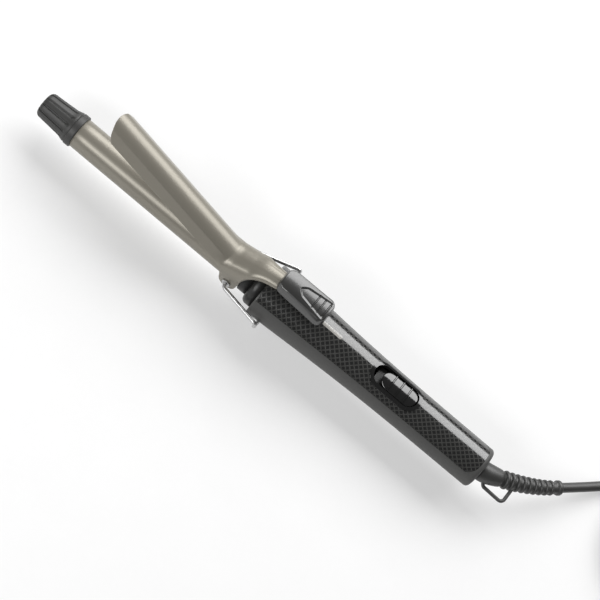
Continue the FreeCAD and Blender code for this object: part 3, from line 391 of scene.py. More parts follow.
class Look(Enum):
    """The iron's finishes by the record's material slot."""

    BARREL = Finish("barrel_coat", (0.235, 0.218, 0.182), (0.270, 0.252, 0.212), (0.33, 0.38), 0.36, 0.0,
                    5200.0, 0.000004)
    TIP = Finish("tip_plastic", (0.030, 0.030, 0.029), (0.042, 0.042, 0.040), (0.42, 0.55), 0.0, 0.0,
                 2600.0, 0.00003)
    THUMB = Finish("thumb_plastic", (0.016, 0.016, 0.015), (0.024, 0.024, 0.023), (0.30, 0.38), 0.0, 0.4,
                   3600.0, 0.000015, specular=0.9)
    COLLAR = Finish("collar_plastic", (0.012, 0.012, 0.012), (0.020, 0.020, 0.019), (0.34, 0.44))
    CERAMIC = Finish("ceramic", (0.74, 0.72, 0.66), (0.82, 0.80, 0.75), (0.45, 0.6), grain=1800.0)
    SPREADER = Finish("spreader_aluminium", (0.58, 0.58, 0.59), (0.68, 0.68, 0.69), (0.32, 0.5), 1.0,
                      stretch=(0.05, 1.0, 1.0))
    SLEEVING = Finish("lead_sleeving", (0.66, 0.63, 0.55), (0.76, 0.73, 0.66), (0.5, 0.62))
    STEEL = Finish("steel", (0.48, 0.48, 0.47), (0.58, 0.58, 0.57), (0.25, 0.42), 1.0)
    CHROME = Finish("chrome_wire", (0.58, 0.58, 0.58), (0.66, 0.66, 0.66), (0.36, 0.44), 1.0,
                    grain=900.0, depth=0.000002)
    UPPER = LatticeGloss()
    LOWER = Finish("lower_satin", (0.066, 0.066, 0.064), (0.084, 0.084, 0.081), (0.46, 0.56), 0.0, 0.0,
                   4200.0, 0.00002, specular=0.35)
    LENS = Finish("lens_clear", (0.30, 0.29, 0.27), (0.38, 0.37, 0.35), (0.10, 0.18), 0.0, 0.6, 1500.0,
                  0.000004)
    LAMP = Finish("lamp_glass", (0.80, 0.45, 0.25), (0.88, 0.55, 0.32), (0.05, 0.1), 0.0, 0.5)
    SWITCH = Finish("switch_gloss", (0.006, 0.006, 0.006), (0.010, 0.010, 0.010), (0.10, 0.15), 0.0, 0.0,
                    1800.0, 0.000003, specular=1.0)
    HOUSING = Finish("switch_housing", (0.012, 0.012, 0.012), (0.020, 0.020, 0.020), (0.25, 0.35))
    BRASS = Finish("terminal_brass", (0.60, 0.45, 0.20), (0.70, 0.54, 0.28), (0.25, 0.4), 1.0)
    CORD = Finish("cord_rubber", (0.030, 0.030, 0.029), (0.044, 0.044, 0.042), (0.40, 0.50), 0.0, 0.0,
                  2400.0, 0.00002, specular=0.7)
    LOOP = Finish("loop_plastic", (0.045, 0.045, 0.044), (0.060, 0.060, 0.058), (0.40, 0.5))
    TIE = Finish("tie_plastic", (0.018, 0.018, 0.018), (0.028, 0.028, 0.028), (0.45, 0.6))
    PLUG = Finish("plug_rubber", (0.032, 0.032, 0.031), (0.045, 0.045, 0.044), (0.40, 0.52), 0.0, 0.0,
                  2000.0, 0.00003)
    PIN = Finish("pin_nickel", (0.64, 0.62, 0.57), (0.72, 0.70, 0.65), (0.18, 0.3), 1.0)

    def material(self) -> bpy.types.Material:
        """Give this finish's material."""
        return self.value.make()


def look_for(slot: str) -> Look:
    """Find the finish whose material has a slot's name.

    Args:
        slot: the record's material slot.

    Returns:
        The matching finish.
    """
    return next(look for look in Look if look.value.name == slot)


# ---- mesh helpers -------------------------------------------------------------------------------
def piece_from(name: str, mesh: bpy.types.Mesh, look: Look) -> bpy.types.Object:
    """Make a smoothly shaded scene object from a mesh at the origin.

    Args:
        name: the piece's name.
        mesh: its mesh, already in place.
        look: its finish.

    Returns:
        The object.
    """
    mesh.materials.clear()
    mesh.materials.append(look.material())
    for face in mesh.polygons:
        face.use_smooth = True
        face.material_index = 0
    made = bpy.data.objects.new(name, mesh)
    bpy.context.scene.collection.objects.link(made)
    return made


def skin(name: str, rings: Sequence[Ring], closed: bool = True) -> bpy.types.Mesh:
    """Join rings of equal length into a surface.

    Args:
        name: the mesh's name.
        rings: rows of points.
        closed: join each ring's last point to its first, and close the first and last rings with a
            fan round their middles. Otherwise the surface is an open sheet.

    Returns:
        The mesh, with its normals recalculated.
    """
    form = bmesh.new()
    rows = [[form.verts.new(point) for point in ring] for ring in rings]
    count = len(rings[0])
    span = count if closed else count - 1
    for low, high in zip(rows, rows[1:]):
        for index in range(span):
            after = (index + 1) % count
            form.faces.new((low[index], low[after], high[after], high[index]))
    if closed:
        for row in (rows[0], rows[-1]):
            hub = form.verts.new(sum((vert.co for vert in row), Vector()) / count)
            for index in range(count):
                form.faces.new((row[index], row[(index + 1) % count], hub))
    bmesh.ops.recalc_face_normals(form, faces=form.faces)
    mesh = bpy.data.meshes.new(name)
    form.to_mesh(mesh)
    form.free()
    return mesh


def round_ring(x: float, radius: float, count: int,
               flute: Callable[[float], float] | None = None) -> Ring:
    """Make a ring about the barrel's axis.

    Args:
        x: the ring's place along the iron.
        radius: its radius.
        count: points round it.
        flute: optional change of radius by angle.

    Returns:
        The ring's points.
    """
    ring = []
    for step in range(count):
        angle = math.tau * step / count
        reach = radius + (flute(angle) if flute else 0.0)
        ring.append(Vector((x, reach * math.sin(angle), AXIS_Z + reach * math.cos(angle))))
    return ring


def turned(outline: Sequence[tuple[float, float]], count: int = 128) -> list[Ring]:
    """Turn an outline of (x, radius), its rounded stretches already divided, about the axis."""
    return [round_ring(x, radius, count) for x, radius in outline]


def quarter(x: float, radius: float, size: float, facing: int, steps: int = 6) -> list[tuple[float, float]]:
    """Divide a rounded outer corner of a turned outline.

    Args:
        x: the corner's place along the iron.
        radius: the corner's radius from the axis.
        size: the rounding.
        facing: -1 for a corner at the end towards the tip, 1 for one at the end towards the cord.
        steps: divisions.

    Returns:
        Points (x, radius) in their order from the tip to the cord.
    """
    points = []
    for step in range(steps + 1):
        angle = math.pi / 2.0 * step / steps
        points.append((x - facing * size * (1.0 - math.cos(angle)), radius - size * (1.0 - math.sin(angle))))
    return points if facing < 0 else points[::-1]


def bake(host: bpy.types.Object, name: str, look: Look) -> bpy.types.Object:
    """Turn an object with modifiers into a plain piece and remove the host.

    Args:
        host: the object to evaluate.
        name: the piece's name.
        look: its finish.

    Returns:
        The plain piece.
    """
    graph = bpy.context.evaluated_depsgraph_get()
    mesh = bpy.data.meshes.new_from_object(host.evaluated_get(graph))
    bpy.data.objects.remove(host)
    mesh.name = name
    return piece_from(name, mesh, look)


def finish_piece(piece: bpy.types.Object, body: Body, look: Look, *nodes: str) -> bpy.types.Object:
    """Hang a piece on its body and hide the nodes it stands for.

    Args:
        piece: the finished piece.
        body: the body that it rides on.
        look: its finish; not used.
        nodes: CAD nodes that it replaces.

    Returns:
        The same piece.
    """
    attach(piece, body.value)
    if nodes:
        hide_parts(*nodes)
    LOG.info("made %s on %s", piece.name, body.value)
    return piece


def shell_piece(name: str, rings: Sequence[Ring], body: Body, look: Look, *nodes: str) -> bpy.types.Object:
    """Make a closed piece from its rings.

    Args:
        name: the piece's name.
        rings: rows of points from one end to the other.
        body: the body that it rides on.
        look: its finish.
        nodes: CAD nodes that it replaces.

    Returns:
        The finished piece.
    """
    return finish_piece(piece_from(name, skin(name, rings), look), body, look, *nodes)


# ---- repeating pieces ---------------------------------------------------------------------------
class Growth:
    """A short way to write a Geometry Nodes tree that repeats a shape along a line."""

    def __init__(self, name: str, inputs: dict[str, str]) -> None:
        """Make a tree with a line coming in and a finished mesh going out.

        Args:
            name: the tree's name.
            inputs: kinds of the other inputs, by their names.
        """
        self.name = name
        self.tree = bpy.data.node_groups.new(name, "GeometryNodeTree")
        sockets = {"Geometry": "Geometry", **inputs, "Finish": "Material"}
        for title, kind in sockets.items():
            self.tree.interface.new_socket(title, in_out="INPUT", socket_type="NodeSocket" + kind)
        self.tree.interface.new_socket("Geometry", in_out="OUTPUT", socket_type="NodeSocketGeometry")
        self.start = self.node("NodeGroupInput")

    def node(self, kind: str, **defaults: object) -> bpy.types.Node:
        """Add a node and set its inputs.

        Args:
            kind: the node's type name.
            defaults: values by the input's name, with underscores for spaces.

        Returns:
            The new node.
        """
        made = self.tree.nodes.new(kind)
        for title, value in defaults.items():
            made.inputs[title.replace("_", " ")].default_value = value
        return made

    def link(self, *joins: tuple[bpy.types.Node, str, bpy.types.Node, str]) -> None:
        """Join sockets, each given as a node and its output, then a node and its input."""
        for source, output, target, entry in joins:
            self.tree.links.new(source.outputs[output], target.inputs[entry])

    def close(self, placed: bpy.types.Node) -> None:
        """Make the instances real, give them their finish and send them out.

        Args:
            placed: the node that makes the instances.
        """
        real = self.node("GeometryNodeRealizeInstances")
        dress = self.node("GeometryNodeSetMaterial")
        end = self.node("NodeGroupOutput")
        self.link((placed, "Instances", real, "Geometry"), (real, "Geometry", dress, "Geometry"),
                  (self.start, "Finish", dress, "Material"), (dress, "Geometry", end, "Geometry"))

    def grow(self, line: Sequence[Vector], values: dict[str, object], body: Body,
             look: Look) -> bpy.types.Object:
        """Run the tree on a line and keep the result as a plain piece with the tree's name.

        Args:
            line: the line's points.
            values: input values by the inputs' names.
            body: the body that the piece rides on.
            look: its finish.

        Returns:
            The finished piece.
        """
        mesh = bpy.data.meshes.new(self.name + "_line")
        mesh.from_pydata(line, [(step, step + 1) for step in range(len(line) - 1)], [])
        host = bpy.data.objects.new(mesh.name, mesh)
        bpy.context.scene.collection.objects.link(host)
        modifier = host.modifiers.new(self.name, "NODES")
        modifier.node_group = self.tree
        given = {**values, "Finish": look.material()}
        for item in self.tree.interface.items_tree:
            if item.in_out == "INPUT" and item.name in given:
                modifier[item.identifier] = given[item.name]
        return finish_piece(bake(host, self.name, look), body, look)


# ---- stage --------------------------------------------------------------------------------------
@dataclass(frozen=True)
class Softbox:
    """A long soft light beside the iron.

    Attributes:
        name: the light's name.
        side: -1 for the near side, 1 for the far side.
        height: its angle above the surface, seen from the iron.
        watts: its power.
        width: its short side.
        span: where it starts and ends along the iron.
        distance: from the barrel's axis.
    """

    name: str
    side: float
    height: float
    watts: float
    width: float
    span: tuple[float, float]
    distance: float = 1.1

    def hang(self) -> None:
        """Make the light and face it to the axis."""
        data = bpy.data.lights.new(self.name, "AREA")
        data.shape = "RECTANGLE"
        data.size = self.span[1] - self.span[0]
        data.size_y = self.width
        data.energy = self.watts
        aim = Vector((0.0, 0.0, AXIS_Z))
        outward = Vector((0.0, self.side * math.cos(self.height), math.sin(self.height)))
        place = aim + outward * self.distance
        place.x = aim.x = sum(self.span) / 2.0
        facing = (place - aim).normalized()
        turn = Matrix((ALONG, facing.cross(ALONG), facing)).transposed()
        made = bpy.data.objects.new(self.name, data)
        made.matrix_world = Matrix.Translation(place) @ turn.to_4x4()
        bpy.context.scene.collection.objects.link(made)


@dataclass
class Stage:
    """Camera, floor and soft lights.

    Attributes:
        elevation: the view's height above the surface, turned about the iron's length.
        roll: the iron's slope across the picture.
        distance: from the camera to the aim point.
        lens: the camera's focal length in millimetres.
        along: the aim point's place along the iron, from the tip.
        offset: the aim point's distance beyond the axis, up the view.
        floor_reach: half the floor's side.
        floor_gap: the floor's distance below the surface.
        floor_glow: the floor's own light.
        room: the light from all round.
        lights: the softboxes.
    """

    elevation: float = math.radians(65.0)
    roll: float = math.radians(40.04)
    distance: float = 1.15
    lens: float = 120.0
    along: float = 185.6 * MM
    offset: float = 7.8 * MM
    floor_reach: float = 6.0
    floor_gap: float = 0.4 * MM
    floor_glow: float = 0.42
    room: float = 0.10
    lights: tuple[Softbox, ...] = (
        Softbox("far_softbox", 1.0, math.radians(43.0), 21.0, 0.80, (-0.8, 0.8)),
        Softbox("near_softbox", -1.0, math.radians(38.0), 8.6, 0.40, (-0.98, -0.025)),
    )

    def camera(self) -> None:
        """Place the camera."""
        up = Vector((0.0, math.sin(self.elevation), math.cos(self.elevation)))
        back = Vector((0.0, -math.cos(self.elevation), math.sin(self.elevation)))
        right = ALONG * math.cos(self.roll) + up * math.sin(self.roll)
        top = -ALONG * math.sin(self.roll) + up * math.cos(self.roll)
        aim = Vector((TIP_X + self.along, 0.0, AXIS_Z)) + up * self.offset
        data = bpy.data.cameras.new("camera")
        data.lens = self.lens
        data.clip_start = 0.05
        made = bpy.data.objects.new("camera", data)
        turn = Matrix((right, top, back)).transposed()
        made.matrix_world = Matrix.Translation(aim + back * self.distance) @ turn.to_4x4()
        bpy.context.scene.collection.objects.link(made)
        bpy.context.scene.camera = made

    def floor(self) -> None:
        """Lay a large pale floor."""
        mesh = bpy.data.meshes.new("floor")
        corners = [(x * self.floor_reach, y * self.floor_reach, -self.floor_gap)
                   for x, y in ((-1, -1), (1, -1), (1, 1), (-1, 1))]
        mesh.from_pydata(corners, [], [(0, 1, 2, 3)])
        sheet = PAPER.make()
        glow = sheet.node_tree.nodes["Principled BSDF"]
        glow.inputs["Emission Color"].default_value = (1.0, 1.0, 1.0, 1.0)
        glow.inputs["Emission Strength"].default_value = self.floor_glow
        mesh.materials.append(sheet)
        made = bpy.data.objects.new("floor", mesh)
        bpy.context.scene.collection.objects.link(made)

    def build(self) -> None:
        """Make the whole stage."""
        self.camera()
        self.floor()
        for light in self.lights:
            light.hang()
        world = bpy.data.worlds.new("room")
        world.use_nodes = True
        shade = world.node_tree.nodes["Background"]
        shade.inputs["Color"].default_value = (1.0, 1.0, 1.0, 1.0)
        shade.inputs["Strength"].default_value = self.room
        bpy.context.scene.world = world
        bpy.context.scene.view_settings.view_transform = "Standard"


# ---- cord ---------------------------------------------------------------------------------------
@dataclass
class MainsCord:
    """The mains lead: a run from the boot, the put-away coil, and a run to the plug.

    Attributes:
        radius: the cord's radius.
        outer_turn: radius of the coil's outer turn.
        turn_pitch: step between turns.
        layer_pitch: step between layers.
        turns: turns wound inwards, and again outwards.
        points_per_turn: control points in each turn.
        coil_start: the angle from which the coil is wound.
        coil_end: the angle at which it ends.
        length: the real cord's length.
        route: listed points from the boot's end to the coil.
        tail: listed points from the coil to the plug.
    """

    radius: float = 3.0 * MM
    outer_turn: float = 42.5 * MM
    turn_pitch: float = 6.2 * MM
    layer_pitch: float = 6.0 * MM
    turns: int = 3
    points_per_turn: int = 14
    coil_start: float = math.radians(135.0)
    coil_end: float = math.radians(30.0)
    length: float = 1.55
    route: tuple[Point, ...] = ((0.19736, 0.02791, 0.01081), (0.20705, 0.0380, 0.0075),
                                (0.21805, 0.0496, 0.0043), (0.23165, 0.0638, 0.0031))
    tail: tuple[Point, ...] = ((0.31835, 0.0589, 0.0075), (0.32265, 0.0476, 0.0062),
                               (0.32465, 0.0360, 0.00685))

    def coil(self) -> list[Vector]:
        """Work out the coil: inwards on the surface, up at the middle and outwards on top.

        Returns:
            The coil's control points.
        """
        ring = middle("cord_coil")
        low_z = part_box("cord_coil")[0][2] + self.radius
        total = 2 * self.turns + 1 + (self.coil_start - self.coil_end) / math.tau
        count = round(total * self.points_per_turn)
        points = []
        for step in range(1, count + 1):
            turn = total * step / count
            climb = min(max(turn - self.turns, 0.0), 1.0)
            wound_in = min(turn, self.turns)
            wound_out = min(max(turn - self.turns - 1, 0.0), self.turns)
            reach = self.outer_turn - (wound_in - wound_out) * self.turn_pitch
            angle = self.coil_start - math.tau * turn
            points.append(Vector((ring.x + reach * math.cos(angle), ring.y + reach * math.sin(angle),
                                  low_z + climb * self.layer_pitch)))
        return points

    def build(self, carried: Sequence[bpy.types.Object]) -> bpy.types.Object:
        """Make the cord as one smooth spline.

        Args:
            carried: the pieces on the cord; not used.

        Returns:
            The cord's curve.
        """
        data = bpy.data.curves.new("mains_lead", "CURVE")
        data.dimensions = "3D"
        data.bevel_depth = self.radius
        data.bevel_resolution = 6
        data.resolution_u = 6
        data.use_fill_caps = True
        points = [*map(Vector, self.route), *self.coil(), *map(Vector, self.tail)]
        spline = data.splines.new("NURBS")
        spline.points.add(len(points) - 1)
        for target, point in zip(spline.points, points):
            target.co = (*point, 1.0)
        spline.order_u = 3
        spline.use_endpoint_u = True
        data.materials.append(Look.CORD.material())
        cord = bpy.data.objects.new("mains_lead", data)
        bpy.context.scene.collection.objects.link(cord)
        finish_piece(cord, Body.IRON, Look.CORD, "mains_cord", "cord_coil", "cord_tail")
        return cord


# ---- strain relief ------------------------------------------------------------------------------
@dataclass
class Boot:
    """The moulded strain relief: a smooth root and sleeve, then ribs on a tapering core.

    Attributes:
        root_bend: radius and turn of the tight bend at the handle.
        long_bend: radius and turn of the rest.
        droop: tilt of the bends' plane below level.
        sleeve: the smooth stretch's (place, radius) in millimetres, from the handle's end.
        core_radii: the core's radius behind the sleeve and before the end collar.
        collar_start: where the end collar begins.
        collar: the end collar's (place, radius) in millimetres, from the boot's end.
        ribs: how many ribs.
        first_rib: the first rib's place.
        rib_pitch: distance between them.
        rib_radius: the first rib's middle radius.
        rib_bead: half a rib's thickness.
        last_scale: size of the last rib beside the first.
        stations: rings along the core.
        around: points round each ring.
        bead_points: points round a rib's section.
    """

    root_bend: tuple[float, float] = (12.0 * MM, math.radians(23.0))
    long_bend: tuple[float, float] = (115.0 * MM, math.radians(24.7))
    droop: float = math.radians(18.4)
    sleeve: tuple[tuple[float, float], ...] = (
        (-0.4, 5.0), (0.1, 6.0), (0.5, 6.3), (1.5, 6.4), (4.5, 6.3), (8.0, 5.9), (11.4, 5.45),
        (12.8, 5.15), (13.5, 4.8), (13.8, 4.3))
    core_radii: tuple[float, float] = (4.3 * MM, 3.6 * MM)
    collar_start: float = 51.4 * MM
    collar: tuple[tuple[float, float], ...] = (
        (-2.7, 4.3), (-2.3, 4.5), (-0.9, 4.5), (-0.4, 4.3), (-0.2, 3.6), (0.0, 3.1))
    ribs: int = 9
    first_rib: float = 16.35 * MM
    rib_pitch: float = 3.85 * MM
    rib_radius: float = 4.35 * MM
    rib_bead: float = 1.25 * MM
    last_scale: float = 0.81
    stations: int = 24
    around: int = 48
    bead_points: int = 12

    def length(self) -> float:
        """Give the boot's length along its centreline."""
        return self.root_bend[0] * self.root_bend[1] + self.long_bend[0] * self.long_bend[1]

    def line(self, distance: float) -> tuple[Vector, Vector]:
        """Find a place on the centreline.

        Args:
            distance: metres from the handle's end, below zero inside the handle.

        Returns:
            The point and the heading there.
        """
        origin = Vector((HANDLE_REAR_X, 0.0, AXIS_Z))
        if distance < 0.0:
            return origin + ALONG * distance, ALONG
        root_radius, root_turn = self.root_bend
        first = min(distance / root_radius, root_turn)
        point = Vector((math.sin(first), 1.0 - math.cos(first), 0.0)) * root_radius
        angle = first
        if distance > root_radius * root_turn:
            angle = first + (distance - root_radius * root_turn) / self.long_bend[0]
            step = Vector((math.sin(angle) - math.sin(first), math.cos(first) - math.cos(angle), 0.0))
            point += step * self.long_bend[0]
        tilt = Matrix.Rotation(-self.droop, 3, "X")
        return origin + tilt @ point, tilt @ Vector((math.cos(angle), math.sin(angle), 0.0))

    def ring(self, distance: float, radius: float) -> Ring:
        """Make a ring across the centreline.

        Args:
            distance: metres from the handle's end.
            radius: the ring's radius.

        Returns:
            The ring's points.
        """
        point, heading = self.line(distance)
        side = heading.cross(UP).normalized()
        return circle(point, side, side.cross(heading), radius, self.around)

    def core(self) -> bpy.types.Object:
        """Make the root, sleeve, core and end collar as one skin.

        Returns:
            The finished piece.
        """
        rings = [self.ring(along * MM, radius * MM) for along, radius in self.sleeve]
        first = self.sleeve[-1][0] * MM
        thick, thin = self.core_radii
        for step in range(1, self.stations + 1):
            share = step / self.stations
            along = first + (self.collar_start - first) * share
            rings.append(self.ring(along, thick + (thin - thick) * share))
        rings += [self.ring(self.length() + along * MM, radius * MM) for along, radius in self.collar]
        return shell_piece("boot", rings, Body.IRON, Look.CORD, "strain_relief")

    def rib_growth(self) -> Growth:
        """Build the tree that sets shrinking rings along a line.

        Returns:
            The tree, ready to grow.
        """
        tree = Growth("boot_ribs", {"Ribs": "Int", "Ring Radius": "Float", "Rib Thickness": "Float",
                                    "End Scale": "Float"})
        curve = tree.node("GeometryNodeMeshToCurve")
        spaced = tree.node("GeometryNodeResampleCurve")
        ring = tree.node("GeometryNodeCurvePrimitiveCircle", Resolution=self.around)
        bead = tree.node("GeometryNodeCurvePrimitiveCircle", Resolution=self.bead_points)
        rib = tree.node("GeometryNodeCurveToMesh")
        tangent = tree.node("GeometryNodeInputTangent")
        turn = tree.node("FunctionNodeAlignRotationToVector")
        along = tree.node("GeometryNodeSplineParameter")
        shrink = tree.node("ShaderNodeMapRange", To_Min=1.0)
        place = tree.node("GeometryNodeInstanceOnPoints")
        tree.link((tree.start, "Geometry", curve, "Mesh"), (curve, "Curve", spaced, "Curve"),
                  (tree.start, "Ribs", spaced, "Count"), (tree.start, "Ring Radius", ring, "Radius"),
                  (tree.start, "Rib Thickness", bead, "Radius"), (ring, "Curve", rib, "Curve"),
                  (bead, "Curve", rib, "Profile Curve"), (spaced, "Curve", place, "Points"),
                  (rib, "Mesh", place, "Instance"), (tangent, "Tangent", turn, "Vector"),
                  (turn, "Rotation", place, "Rotation"), (along, "Factor", shrink, "Value"),
                  (tree.start, "End Scale", shrink, "To Max"), (shrink, "Result", place, "Scale"))
        tree.close(place)
        return tree

    def rib_rings(self) -> bpy.types.Object:
        """Set the ribs along the boot.

        Returns:
            The ribs as one piece.
        """
        length = self.rib_pitch * (self.ribs - 1)
        line = [self.line(self.first_rib + length * step / self.stations)[0]
                for step in range(self.stations + 1)]
        values = {"Ribs": self.ribs, "Ring Radius": self.rib_radius, "Rib Thickness": self.rib_bead,
                  "End Scale": self.last_scale}
        return self.rib_growth().grow(line, values, Body.IRON, Look.CORD)

    def build(self) -> list[bpy.types.Object]:
        """Make the boot's pieces."""
        return [self.core(), self.rib_rings()]


# ---- barrel and tip -----------------------------------------------------------------------------
@dataclass
class Barrel:
    """The heated barrel, its fluted cool tip and the two collars, all turned about one axis.

    Attributes:
        radius: the barrel's radius.
        chamfer: length and depth of the barrel's end chamfer.
        spans: stretches along the barrel.
        nose: length, end radius and swell of the tip's rounded nose, in millimetres.
        body: radius behind the nose, widening, its length and its power, in millimetres.
        lip: the widening before the tip's rim and where it starts and ends, in millimetres.
        nose_stations: ring places on the nose, in millimetres from the tip.
        body_spans: stretches along the tip's body.
        lip_stations: ring places behind the flutes, in millimetres from the tip.
        flutes: grooves round the tip.
        flute_points: points of a ring for each flute.
        flute_depth: a flute's depth.
        flute_half: half the angle that a flute takes up.
        flute_end: where the flutes end and the length over which they fade, in millimetres.
        flute_rise: how the flutes rise at the nose, as an offset and a length in millimetres.
        end_radius: the tip's flat end.
        rim: the tip's rim, its place from the tip, radius and rounding.
        overlap: how far the rim reaches over the barrel, and its inner radius.
        small_collar: inner radius, outer radius and rounding.
        large_collar: inner radius, outer radius and rounding.
        tuck: how far the large collar reaches into the handle.
    """

    radius: float = 9.5 * MM
    chamfer: tuple[float, float] = (0.3 * MM, 0.4 * MM)
    spans: int = 12
    nose: tuple[float, float, float] = (3.0, 5.0, 3.2)
    body: tuple[float, float, float, float] = (8.2, 1.25, 18.5, 1.1)
    lip: tuple[float, float, float] = (0.8, 17.5, 22.4)
    nose_stations: tuple[float, ...] = (0.0, 0.15, 0.4, 0.8, 1.3, 2.0, 3.0)
    body_spans: int = 14
    lip_stations: tuple[float, ...] = (20.9, 21.3, 21.7)
    flutes: int = 12
    flute_points: int = 24
    flute_depth: float = 0.85 * MM
    flute_half: float = math.radians(6.0)
    flute_end: tuple[float, float] = (20.4, 0.7)
    flute_rise: tuple[float, float] = (0.25, 0.9)
    end_radius: float = 4.4 * MM
    rim: tuple[float, float, float] = (22.4 * MM, 10.55 * MM, 0.7 * MM)
    overlap: tuple[float, float] = (3.2 * MM, 9.2 * MM)
    small_collar: tuple[float, float, float] = (9.3 * MM, 10.3 * MM, 0.6 * MM)
    large_collar: tuple[float, float, float] = (9.6 * MM, 14.1 * MM, 3.4 * MM)
    tuck: float = 0.4 * MM

    def tube(self) -> bpy.types.Object:
        """Make the barrel's skin.

        Returns:
            The finished piece.
        """
        start, end = (corner[0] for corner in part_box("barrel_tube"))
        outline = [(start, self.radius - self.chamfer[1]), (start + self.chamfer[0], self.radius)]
        outline += [(start + (end - start) * step / self.spans, self.radius)
                    for step in range(1, self.spans + 1)]
        return shell_piece("barrel_skin", turned(outline), Body.IRON, Look.BARREL, "barrel_tube")

    def tip_radius(self, along: float) -> float:
        """Give the tip's radius at a distance from its end.

        Args:
            along: millimetres from the end.

        Returns:
            The radius in millimetres, without flutes.
        """
        nose, end, swell = self.nose
        if along < nose:
            return end + swell * math.sqrt(max(0.0, 1.0 - ((nose - along) / nose) ** 2))
        radius, widening, length, power = self.body
        lip, lip_start, lip_end = self.lip
        wider = widening * ((along - nose) / length) ** power
        return radius + wider + lip * smooth(lip_start, lip_end, along)

    def tip(self) -> bpy.types.Object:
        """Make the fluted tip with its rim.

        Returns:
            The finished piece.
        """
        count = self.flutes * self.flute_points
        nose = self.nose[0]
        flute_end, fall = self.flute_end
        offset, rise = self.flute_rise
        stations = [*self.nose_stations]
        stations += [nose + (flute_end - nose) * step / self.body_spans
                     for step in range(1, self.body_spans + 1)]
        stations += self.lip_stations
        rings = [round_ring(TIP_X, self.end_radius, count)]
        for along in stations:
            fade = min(1.0, max(0.0, (flute_end - along) / fall)) * min(1.0, (along + offset) / rise)
            rings.append(round_ring(TIP_X + along * MM, self.tip_radius(along) * MM, count,
                                    lambda angle, share=fade: -self.groove(angle) * share))
        place, radius, rounding = self.rim
        reach, inner = self.overlap
        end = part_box("barrel_tube")[0][0] + reach
        rim = quarter(TIP_X + place, radius, rounding, -1) + quarter(end, radius, rounding, 1)
        rings += turned((*rim, (end, inner)), count)
        return shell_piece("fluted_tip", rings, Body.IRON, Look.TIP, "cool_tip")

    def groove(self, angle: float) -> float:
        """Give the depth of the flutes at an angle.

        Args:
            angle: the angle round the tip.

        Returns:
            The depth in metres, zero between flutes.
        """
        step = math.tau / self.flutes
        away = abs((angle + step / 2.0) % step - step / 2.0) / self.flute_half
        return self.flute_depth * (1.0 - away ** 4) if away < 1.0 else 0.0

    def collar(self, name: str, node: str, end: float, sizes: Sequence[float],
               steps: int) -> bpy.types.Object:
        """Make one collar, rounded at its front.

        Args:
            name: the piece's name.
            node: the CAD node that it replaces and starts at.
            end: where it ends along the iron.
            sizes: inner radius, outer radius and rounding.
            steps: divisions of the rounding.

        Returns:
            The finished piece.
        """
        inner, outer, rounding = sizes
        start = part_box(node)[0][0]
        outline = [(start, inner), *quarter(start, outer, rounding, -1, steps), (end, outer)]
        return shell_piece(name, turned(outline), Body.IRON, Look.COLLAR, node)

    def build(self) -> None:
        """Make every piece of the barrel."""
        self.tube()
        self.tip()
        self.collar("collar_ring", "barrel_collar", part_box("barrel_collar")[1][0], self.small_collar, 6)
        self.collar("collar_nose", "handle_collar", HANDLE_FRONT_X + self.tuck, self.large_collar, 10)


